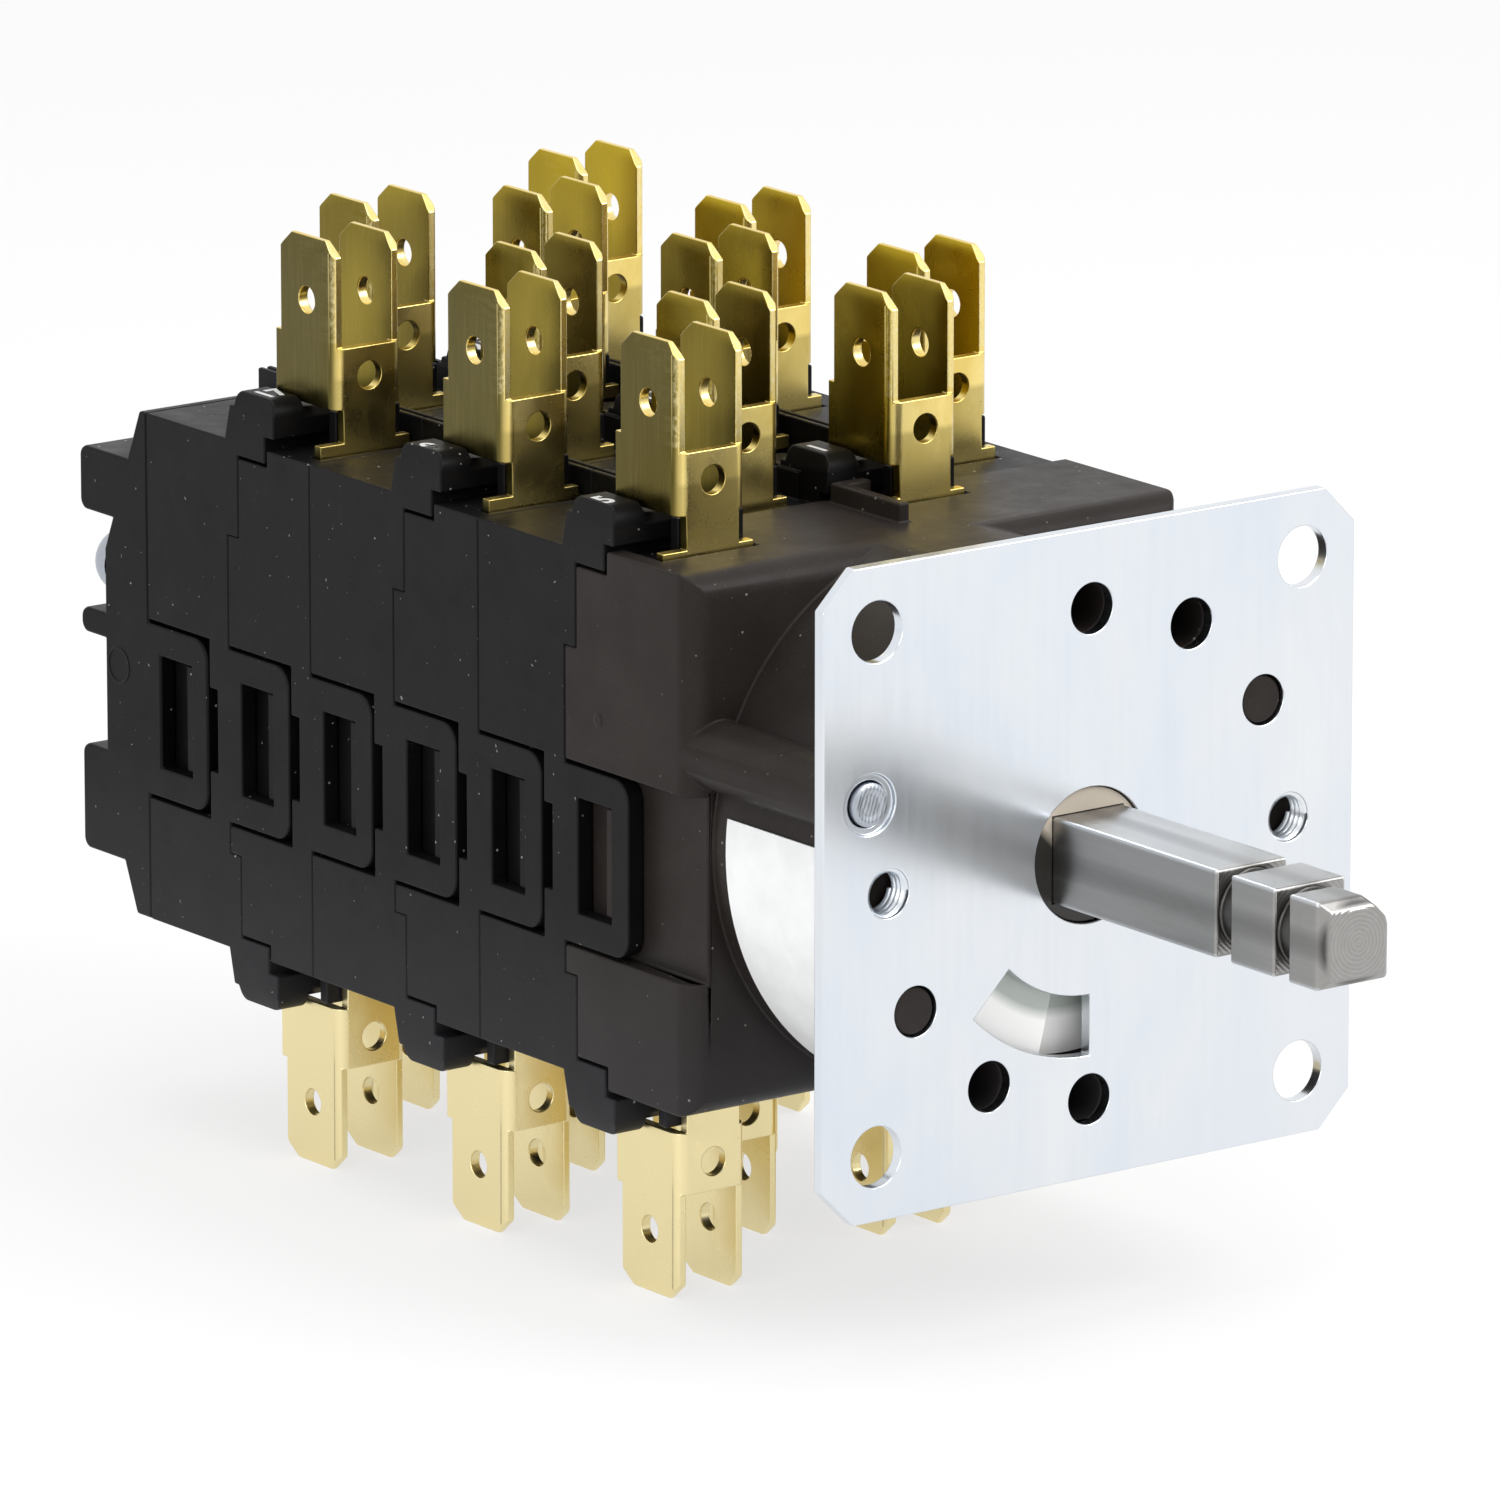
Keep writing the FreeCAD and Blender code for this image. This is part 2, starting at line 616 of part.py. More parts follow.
def cut_release_notches(body):
    """The notches behind the grooves' ends, one in front of each snap loop."""
    middle = (s["band_top"] + s["band_bottom"]) / 2
    half = s["notch_height"] / 2
    start = s["stage_pitch"] - s["loop_length"] - s["notch_length"]
    notches = front_view(body, "notches", start)
    depth = half_width - s["band_depth"]
    low = (-half_width - 1, middle - half)
    for corner, opposite in both_sides(low, (-depth, middle + half)):
        draw_box(notches, corner, opposite)
    cut(body, notches, s["notch_length"] + s["loop_play"])


def slot_edges(column, turned):
    """The two sides of the slot round a terminal's foot; a turned terminal is a bottom one."""
    reach = s["strap_width"] / 2
    left = s["foot_right"] if turned else s["foot_left"]
    right = s["foot_left"] if turned else s["foot_right"]
    return column - reach - left - s["slot_play"], column + reach + right + s["slot_play"]


def stage_terminals(stepped):
    """The two terminal columns of a stage and how far their webs lie behind its main front."""
    top_front = -s["step_depth"] if stepped else ZERO
    outer = s["outer_column"]
    inner = s["inner_column"]
    left = -inner if stepped else -outer
    right = outer if stepped else inner
    return [(left, -1, top_front + s["terminal_first"]), (right, 1, top_front + s["terminal_second"])]


def wall_boxes(column, low_level, high_level, play):
    """A box in the top wall and one in the bottom wall at a terminal column, in a front view."""
    boxes = []
    for turned in (False, True):
        low, high = slot_edges(column, turned)
        turn = -1 if turned else 1
        boxes.append(((low + play, turn * low_level), (high - play, turn * high_level)))
    return boxes


def cut_terminal_slots(body, stepped, front, length):
    """The slots in the top and bottom walls, open to the back, that take the terminals."""
    for column, side, behind in stage_terminals(stepped):
        name = "slots_left" if side < 0 else "slots_right"
        slots = front_view(body, name, front + behind - s["slot_play"])
        inside = inner_half_height - s["slot_play"]
        for low, high in wall_boxes(column, inside, half_height + 1, ZERO):
            draw_box(slots, low, high)
        cut(body, slots, length)


def add_tongues(body, stepped_before, front):
    """Tongues that fill the slots of the stage in front, each with a wall behind its terminal."""
    for column, side, behind in stage_terminals(stepped_before):
        edge = "left" if side < 0 else "right"
        start = behind - s["stage_pitch"] + s["strip"] + s["slot_play"]
        tongues = front_view(body, "tongues_" + edge, start)
        for low, high in wall_boxes(column, inner_half_height, half_height, s["slot_play"] / 2):
            draw_box(tongues, low, high)
        pad(body, tongues, front + s["floor_thickness"] - start)
        supports = front_view(body, "supports_" + edge, start)
        for turn in (1, -1):
            low = (column - turn * s["strap_width"] / 2, turn * inner_half_height)
            draw_box(supports, low, (column + turn * s["support_reach"], turn * s["support_top"]))
        pad(body, supports, s["support_depth"])


def make_stage_inside(body, front, rear):
    """The contact chamber, the round cam wall and the guides of the contact slides."""
    floor_at = front + s["floor_thickness"]
    chamber = front_view(body, "chamber", floor_at)
    draw_box(chamber, (-inner_half_width, -inner_half_height), (inner_half_width, inner_half_height))
    cut(body, chamber, rear - floor_at)
    cam_wall = front_view(body, "cam_wall", front)
    draw_circle(cam_wall, (ZERO, ZERO), s["cam_chamber_radius"] + s["cam_wall"])
    draw_circle(cam_wall, (ZERO, ZERO), s["cam_chamber_radius"])
    pad(body, cam_wall, rear - front - s["slot_play"])
    bosses = front_view(body, "rod_bosses", front)
    for centre in rod_places():
        draw_circle(bosses, centre, s["rod_boss_radius"])
    pad(body, bosses, rear - front)
    guides = front_view(body, "slide_guides", front + s["contact_centre"] - s["slide_depth"] / 2
                        - s["slide_play"])
    half = s["slide_height"] / 2 + s["slide_play"]
    reach = s["cam_chamber_radius"] + 2 * s["cam_wall"]
    draw_box(guides, (-reach, -half), (reach, half))
    cut(body, guides, rear - front)
    journal = front_view(body, "journal", ZERO if front is ZERO else front - s["stage_pitch"])
    draw_circle(journal, (ZERO, ZERO), journal_bore)
    cut(body, journal, s["stage_pitch"] + s["floor_thickness"] + 1)


def add_spring_posts(body):
    """Posts in the latch chamber behind which the ends of the index springs lie."""
    start = s["wheel_start"]
    posts = front_view(body, "spring_posts", start)
    inside = s["wheel_radius"] + s["stop_play"] + s["spring_strip"] * 5 + s["slot_play"] / 2
    beyond = s["turret_radius"] - s["turret_wall"] / 2
    for turn_across in (-1, 1):
        for turn_up in (-1, 1):
            low = (turn_across * (s["spring_span"] - s["spring_post"]), turn_up * inside)
            draw_box(posts, low, (turn_across * s["spring_span"], turn_up * beyond))
    pad(body, posts, s["plate_thickness"] + s["latch_depth"] - start)


def make_latch_housing():
    """The front moulding: round latch chamber, block, and the first contact stage."""
    body = new_body("latch_housing")
    line = s["first_line"]
    block_top = half_height + s["block_rise"]
    block = front_view(body, "block", block_front)
    draw_box(block, (-half_width, -block_top), (half_width, block_top))
    pad(body, block, line - block_front)
    face_at = block_front.value
    soften(body, "Fillet", "front_edges", s["front_fillet"],
           lambda box: near(box.YMin, face_at) and near(box.YMax, face_at))
    turret = front_view(body, "turret", s["plate_thickness"])
    draw_circle(turret, (ZERO, ZERO), s["turret_radius"])
    pad(body, turret, s["turret_length"] + s["front_fillet"])
    tubes = front_view(body, "tubes", s["plate_thickness"])
    for centre in rod_places():
        draw_circle(tubes, centre, s["rod_boss_radius"])
    pad(body, tubes, s["turret_length"] + s["front_fillet"])
    flats = front_view(body, "flats", s["plate_thickness"])
    reach = s["turret_radius"] + 1
    for turn in (1, -1):
        draw_box(flats, (-reach, turn * block_top), (reach, turn * reach))
    cut(body, flats, s["turret_length"] + s["front_fillet"])
    latch = front_view(body, "latch_chamber", s["plate_thickness"])
    draw_circle(latch, (ZERO, ZERO), s["turret_radius"] - s["turret_wall"])
    cut(body, latch, s["latch_depth"])
    bores = front_view(body, "ring_bores", s["plate_thickness"])
    for step in (2, 3):
        for start in (0.0, 180.0):
            centre = ring_place(start + step * s["ring_hole_angle"])
            draw_circle(bores, centre, s["ring_hole_diameter"] / 2)
    cut(body, bores, 2 * s["ring_hole_diameter"])
    collars = front_view(body, "collar_rooms", s["plate_thickness"])
    for side in (0.0, 180.0):
        draw_circle(collars, ring_place(side), s["collar_diameter"] / 2 + s["slot_play"])
    cut(body, collars, s["collar_depth"] + s["slot_play"])
    stud_start = s["plate_thickness"] / 4
    studs = front_view(body, "studs", stud_start)
    for start in (0.0, 180.0):
        centre = ring_place(start + s["ring_hole_angle"])
        draw_circle(studs, centre, s["ring_hole_diameter"] / 2 - s["slot_play"] / 2)
    pad(body, studs, s["plate_thickness"] - stud_start + s["slot_play"])
    add_spring_posts(body)
    make_stage_inside(body, first_stage_front, line)
    cut_rod_bores(body, s["plate_thickness"], line)
    step = front_view(body, "rear_step", line - s["step_depth"])
    for turn in (1, -1):
        outer = half_height + 1
        draw_box(step, (-half_width - 1, turn * s["step_height"]), (half_width + 1, turn * outer))
    cut(body, step, s["step_depth"])
    cut_terminal_slots(body, False, first_stage_front, s["stage_pitch"])
    cut_side_grooves(body, block_front, line - block_front)
    add_catches(body, line)
    cut_lug_seats(body, first_stage_front)
    add_barriers(body)
    place(body)


def add_barriers(body):
    """The barrier beams on the block's top and bottom, each with a short arm at its rear."""
    arm_start = s["barrier_rear"] - s["barrier_arm_depth"]
    right = s["barrier_left"] + s["barrier_width"]
    beams = front_view(body, "barrier_beams", s["barrier_front"])
    arms = front_view(body, "barrier_arms", arm_start)
    for turn in (1, -1):
        top = turn * s["barrier_top"]
        draw_box(beams, (s["barrier_left"], turn * half_height), (right, top))
        under = turn * (half_height + s["slot_play"])
        draw_box(arms, (s["barrier_left"], under), (right + s["barrier_arm"], top))
    pad(body, beams, s["barrier_rear"] - s["barrier_front"])
    pad(body, arms, s["barrier_arm_depth"])


def cut_lug_seats(body, front):
    """The seats at the left edge, on top and below, for the feet of the outer marker lugs."""
    column, side, behind = stage_terminals(False)[0]
    start = front + behind + s["lug_start"] + s["lug_overhang"] - s["slot_play"]
    inside = column - s["lug_offset"] + s["lug_length"] + s["slot_play"]
    level = half_height - s["lug_seat"] - s["slot_play"]
    seats = front_view(body, "lug_seats", start)
    for turn in (1, -1):
        draw_box(seats, (-half_width - 1, turn * level), (inside, turn * (half_height + 1)))
    cut(body, seats, s["stage_pitch"])


def lug_outline(front, up):
    """Side of a marker lug: front overhang, crown, small shelf and slope in its rear, foot."""
    back = front + s["lug_depth"]
    under = half_height + s["lug_clearance"]
    foot = half_height - s["lug_seat"]
    crown = half_height + s["lug_height"]
    shelf = half_height + s["lug_shelf"]
    slope_top = back - s["lug_shelf_set"]
    crown_rear = back - s["lug_crown_set"]
    points = [(front, under), (front, crown), (crown_rear, crown), (crown_rear, shelf)]
    points += [(slope_top, shelf), (back, half_height), (back, foot)]
    points += [(front + s["lug_overhang"], foot), (front + s["lug_overhang"], under)]
    return [(along, up * level) for along, level in points]


def bar_outline(front, up):
    """Side of the low bar that joins a marker lug to the middle of its terminal."""
    back = front + s["lug_depth"]
    under = half_height + s["lug_clearance"]
    foot = half_height - s["lug_seat"]
    crown = half_height + s["bar_height"]
    bevel = s["lug_round"] / 2
    points = [(front, under), (front, crown - bevel), (front + bevel, crown)]
    points += [(back - s["lug_shelf_set"], crown), (back, half_height), (back, foot)]
    points += [(front + s["lug_overhang"], foot), (front + s["lug_overhang"], under)]
    return [(along, up * level) for along, level in points]


def add_marker_lugs(body):
    """Lugs for the terminal numbers, beside the terminals of the stage in front."""
    crown = half_height + s["lug_height"]
    shelf = half_height + s["lug_shelf"]
    lugs = []
    for column, side, behind in stage_terminals(False):
        edge = column - s["lug_offset"]
        lugs.append((column, edge, behind - s["stage_pitch"] + s["lug_start"]))
    for number, (column, edge, front) in enumerate(lugs, start=1):
        for up, level in ((1, "top"), (-1, "bottom")):
            name = level + str(number)
            outline = side_view(body, "lug_" + name, edge)
            draw_polygon(outline, lug_outline(front, up))
            pad(body, outline, s["lug_length"])
            bar = side_view(body, "lug_bar_" + name, edge + s["lug_length"] / 2)
            draw_polygon(bar, bar_outline(front, up))
            pad(body, bar, s["lug_offset"] - s["lug_length"] / 2)
    lean = front_view(body, "lug_lean", lugs[0][2])
    for column, edge, front in lugs:
        for up in (1, -1):
            points = [(edge - 1, shelf), (edge, shelf), (edge + s["lug_lean"], crown)]
            points += [(edge + s["lug_lean"], crown + 1), (edge - 1, crown + 1)]
            draw_polygon(lean, [(across, up * level) for across, level in points])
    cut(body, lean, s["stage_pitch"])
    crown_depth = s["lug_depth"] - s["lug_crown_set"]
    rounds = [("lug_fronts", s["lug_round"], ZERO), ("lug_rears", s["lug_round"] / 2, crown_depth)]
    for name, size, set_back in rounds:
        places = [front + set_back for column, edge, front in lugs]
        soften(body, "Fillet", name, size,
               lambda box: near(abs(box.ZMin), crown) and near(abs(box.ZMax), crown)
               and near(box.YLength, 0.0) and any(near(box.YMin, at) for at in places))


def add_ribs(body, start, end, centre_start, centre_end):
    """The ribs along a stage: a pair beside each outer column and a single one in the middle."""
    pairs = front_view(body, "rib_pairs", start)
    for edge in (s["rib_left"], s["rib_right"]):
        for left in (edge, edge + s["rib_width"] + s["rib_gap"]):
            right = left + s["rib_width"]
            for low, high in both_sides((left, inner_half_height), (right, s["rib_top"])):
                draw_box(pairs, low, high)
    pad(body, pairs, end - start)
    centre = front_view(body, "rib_centre", centre_start)
    low = (s["rib_centre_left"], inner_half_height)
    high = (s["rib_centre_left"] + s["rib_centre_width"], s["rib_top"])
    for turn in (1, -1):
        draw_box(centre, (low[0], turn * low[1]), (high[0], turn * high[1]))
    pad(body, centre, centre_end - centre_start)


def make_stage(name, stepped):
    """One contact stage: a tray that is open at the back, stepped at the front or at the back."""
    body = new_body(name)
    pitch = s["stage_pitch"]
    inner_lug_front = s["terminal_second"] + s["lug_start"]
    block = front_view(body, "block", ZERO)
    draw_box(block, (-half_width, -half_height), (half_width, half_height))
    pad(body, block, pitch)
    make_stage_inside(body, ZERO, pitch)
    depth = s["step_depth"]
    step = front_view(body, "step", -depth if stepped else pitch - depth)
    for turn in (1, -1):
        beyond = half_height if stepped else half_height + 1
        side = half_width if stepped else half_width + 1
        draw_box(step, (-side, turn * s["step_height"]), (side, turn * beyond))
    if stepped:
        pad(body, step, depth)
        deeper = front_view(body, "step_inside", s["floor_thickness"] - depth)
        for turn in (1, -1):
            low = (-inner_half_width, turn * s["step_height"])
            draw_box(deeper, low, (inner_half_width, turn * inner_half_height))
        cut(body, deeper, depth)
        add_ribs(body, -depth, pitch, inner_lug_front + s["lug_depth"] / 2 - pitch, pitch)
        add_marker_lugs(body)
    else:
        cut(body, step, depth)
        cut_lug_seats(body, ZERO)
        add_ribs(body, ZERO, pitch - depth, ZERO, inner_lug_front - s["slot_play"])
    add_tongues(body, not stepped, -depth if stepped else ZERO)
    cut_terminal_slots(body, stepped, ZERO, pitch + depth)
    cut_side_grooves(body, pitch - s["loop_length"] - s["loop_play"], pitch)
    add_catches(body, pitch)
    cut_release_notches(body)
    add_snap_loops(body, s["notch_length"])
    cut_rod_bores(body, -depth, 2 * pitch)
    return body


def make_stages():
    """The five trays behind the latch housing; every second one has the same form."""
    even_master = make_stage("stage_2", True)
    odd_master = make_stage("stage_3", False)
    bodies = {2: even_master, 3: odd_master}
    for number in range(4, STAGE_COUNT + 1):
        master = even_master if number % 2 == 0 else odd_master
        bodies[number] = copy_of(master, "stage_" + str(number))
    for number, body in bodies.items():
        place(body, depth=stage_front(number))


def stage_front(number):
    """Where a stage begins behind the plate's face."""
    return first_stage_front + (number - 1) * s["stage_pitch"]


def make_end_cover():
    """The rear cover with its sloping rear, blocks and ribs."""
    body = new_body("end_cover")
    rear = s["cover_thickness"]
    outline = side_view(body, "outline", -half_width)
    points = [(ZERO, half_height), (s["cover_edge_top"], half_height), (rear, s["cover_flat_top"])]
    points += [(rear, s["cover_flat_bottom"]), (s["cover_edge_bottom"], -half_height)]
    points += [(ZERO, -half_height)]
    draw_polygon(outline, points)
    pad(body, outline, s["body_width"])
    blocks = front_view(body, "blocks", s["cover_block_root"])
    inner_edge = s["cover_block_width"] - half_width
    levels = [(s["cover_upper_bottom"], s["cover_upper_top"])]
    levels += [(s["cover_rib_bottom"], s["cover_rib_top"])]
    levels += [(s["cover_lower_bottom"], s["cover_lower_top"])]
    for low, high in levels:
        for corner, opposite in both_sides((-half_width, low), (inner_edge, high)):
            draw_box(blocks, corner, opposite)
    pad(body, blocks, rear + s["cover_block"] - s["cover_block_root"])
    block_rear = rear + s["cover_block"]
    soften(body, "Fillet", "block_edges", s["cover_block_round"],
           lambda box: near(box.YMin, block_rear) and near(box.YMax, block_rear)
           and near(box.ZLength, 0.0))
    hollow = front_view(body, "shaft_end", ZERO)
    draw_circle(hollow, (ZERO, ZERO), journal_bore)
    cut(body, hollow, s["cover_thickness"] - s["floor_thickness"])
    add_snap_loops(body, s["notch_length"])
    add_tongues(body, STAGE_COUNT % 2 == 0, ZERO)
    cut_rod_bores(body, ZERO, s["cover_thickness"])
    place(body, depth=last_line)


def make_tie_rods():
    """The two long rods that hold the stack, riveted in the plate, with domed rear heads."""
    for name, centre in zip(("tie_rod_left", "tie_rod_right"), rod_places()):
        body = new_body(name)
        bar = front_view(body, "bar", ZERO)
        draw_circle(bar, (ZERO, ZERO), s["rod_diameter"] / 2)
        pad(body, bar, last_line + s["cover_thickness"])
        head = front_view(body, "head", last_line + s["cover_thickness"])
        draw_circle(head, (ZERO, ZERO), s["rod_head_radius"])
        pad(body, head, s["rod_head_height"])
        end_at = (last_line + s["cover_thickness"] + s["rod_head_height"]).value
        soften(body, "Fillet", "dome", s["rod_head_height"] * 0.8,
               lambda box: near(box.YMin, end_at) and near(box.YMax, end_at))
        place(body, across=centre[0])
        body.setExpression(".Placement.Base.z", centre[1].formula)


def make_label_band():
    """The thin label wrapped on the round front of the latch housing."""
    body = new_body("label_band")
    start = s["plate_thickness"] + s["label_margin"]
    band = front_view(body, "band", start)
    radii = (s["turret_radius"], s["turret_radius"] + s["label_thickness"])
    draw_sector(band, *radii, s["label_start_angle"], s["label_end_angle"])
    pad(body, band, s["turret_length"] - 2 * s["label_margin"])
    place(body)


def make_index_wheel():
    """The white index wheel on the shaft, with its hub and stop arm."""
    body = new_body("index_wheel")
    hub_start = s["plate_thickness"] / 3
    chamber_end = s["plate_thickness"] + s["latch_depth"]
    hub = front_view(body, "hub", hub_start)
    hub_radius = s["plate_bore_diameter"] / 2 - s["wheel_hub_play"]
    draw_circle(hub, (ZERO, ZERO), hub_radius)
    pad(body, hub, chamber_end - hub_start - s["stop_play"])
    star = front_view(body, "star", s["wheel_start"])
    points = []
    half_step = s["throw_angle"] / 2
    for corner in range(12):
        radius = s["wheel_radius"] if corner % 2 == 0 else s["wheel_valley"]
        angle = corner * half_step
        points.append((radius * cosine(angle), radius * sine(angle)))
    draw_polygon(star, points)
    pad(body, star, s["wheel_length"])
    arm = front_view(body, "arm", s["plate_thickness"] + s["stop_play"])
    inner = hub_radius - 1
    outer = s["turret_radius"] - s["turret_wall"] - s["stop_play"]
    middle = 90.0 + s["throw_angle"] / 2
    half = s["arm_angle"] / 2
    draw_sector(arm, inner, outer, middle - half, middle + half)
    pad(body, arm, s["stop_depth"])
    bore = front_view(body, "bore", ZERO)
    draw_box(bore, (-square_hole / 2, -square_hole / 2), (square_hole / 2, square_hole / 2))
    cut(body, bore)
    place(body)


def make_stop_ring():
    """The steel stop ring; the stop arm turns in its gap and meets the gap's ends."""
    body = new_body("stop_ring")
    outer = s["turret_radius"] - s["turret_wall"] - s["stop_play"] / 2
    half_gap = s["throw_angle"] / 2 + s["arm_angle"] / 2 + s["stop_margin"]
    ring = front_view(body, "ring", s["plate_thickness"] + s["stop_play"])
    draw_sector(ring, s["stop_inner_radius"], outer, 90.0 + half_gap, s["stop_step_angle"])
    pad(body, ring, s["stop_depth"])
    lower = front_view(body, "lower", s["plate_thickness"] + s["stop_play"] + s["stop_depth"] / 3)
    step_start = s["stop_step_angle"] - s["stop_margin"]
    draw_sector(lower, s["stop_inner_radius"], outer, step_start, 450.0 - half_gap)
    pad(body, lower, s["stop_depth"] * 2 / 3)
    place(body)


def make_index_springs():
    """Two spring strips that press on the index wheel from both sides."""
    front = s["wheel_start"] + (s["wheel_length"] - s["spring_width"]) / 2
    reach = s["wheel_radius"] + s["stop_play"]
    for name, turned in (("index_spring_upper", False), ("index_spring_lower", True)):
        body = new_body(name)
        strip = front_view(body, "strip", front)
        span = s["spring_span"]
        foot = reach + s["spring_strip"] * 4
        dip = s["wheel_valley"] + s["stop_play"]
        points = [(-span, foot), (-span / 2, reach), (-span / 6, dip)]
        points += [(span / 6, dip), (span / 2, reach), (span, foot)]
        lifted = [(across, up + s["spring_strip"]) for across, up in reversed(points)]
        draw_polygon(strip, points + lifted)
        pad(body, strip, s["spring_width"])
        place(body, turned=turned)


def make_cams():
    """Six cams on the shaft; every second one is turned by half a turn."""
    master = new_body("cam_1")
    start = s["contact_centre"] - s["cam_length"] / 2
    centre = (s["cam_throw"] * cosine(s["cam_angle"]), s["cam_throw"] * sine(s["cam_angle"]))
    raised = front_view(master, "raised", start)
    draw_circle(raised, centre, s["cam_mean_radius"])
    pad(master, raised, s["cam_length"])
    crown = front_view(master, "crown", start)
    outside = 2 * s["cam_mean_radius"]
    draw_circle(crown, (ZERO, ZERO), outside)
    draw_circle(crown, (ZERO, ZERO), cam_high)
    cut(master, crown, s["cam_length"])
    low = front_view(master, "low", start)
    draw_circle(low, (ZERO, ZERO), cam_low)
    pad(master, low, s["cam_length"])
    hub = front_view(master, "hub", s["journal_play"])
    draw_circle(hub, (ZERO, ZERO), s["journal_radius"])
    pad(master, hub, s["stage_pitch"] - 2 * s["journal_play"])
    bore = front_view(master, "bore", ZERO)
    draw_box(bore, (-square_hole / 2, -square_hole / 2), (square_hole / 2, square_hole / 2))
    cut(master, bore)
    bodies = [master]
    for number in range(2, STAGE_COUNT + 1):
        bodies.append(copy_of(master, "cam_" + str(number)))
    for number, body in enumerate(bodies, start=1):
        place(body, depth=stage_front(number), turned=number % 2 == 0)


def make_slide_form(name):
    """A contact slide for the right side in its closed place: nose, stem, yoke and bridge."""
    body = new_body(name)
    front = s["contact_centre"] - s["slide_depth"] / 2
    nose = s["cam_mean_radius"] - s["cam_throw"] / 2 + s["follower_play"]
    half = s["slide_height"] / 2
    tip = half / 2
    stem = front_view(body, "stem", front)
    points = [(nose + tip, -half), (s["yoke_start"] + 1, -half), (s["yoke_start"] + 1, half)]
    points += [(nose + tip, half), (nose, tip), (nose, -tip)]
    draw_polygon(stem, points)
    pad(body, stem, s["slide_depth"])
    yoke = front_view(body, "yoke", front)
    high = s["yoke_height"] / 2
    draw_box(yoke, (s["yoke_start"], -high), (s["slide_tail"], high))
    pad(body, yoke, s["slide_depth"])
    bridge = front_view(body, "bridge", s["contact_centre"] - s["bridge_depth"] / 2)
    reach = s["bridge_length"] / 2
    draw_box(bridge, (s["bridge_start"], -reach), (s["bridge_start"] + s["strip"], reach))
    pad(body, bridge, s["bridge_depth"])
    pips = side_view(body, "pips", s["bridge_start"] - s["pip_height"])
    for turn in (1, -1):
        draw_circle(pips, (s["contact_centre"], turn * s["pip_level"]), s["pip_diameter"] / 2)
    pad(body, pips, s["pip_height"] + s["strip"] / 2)
    return body


def make_contact_slides():
    """Twelve contact slides, two in each stage, one closed and one pushed open."""
    master = make_slide_form("contact_slide_right_2")
    for number in range(1, STAGE_COUNT + 1):
        for side in ("left", "right"):
            name = "contact_slide_" + side + "_" + str(number)
            body = master if name == master.Label else copy_of(master, name)
            closed = (side == "left") == (number % 2 == 1)
            outward = ZERO if closed else s["cam_throw"]
            across = outward if side == "right" else -outward
            place(body, across=across, depth=stage_front(number), turned=side == "left")


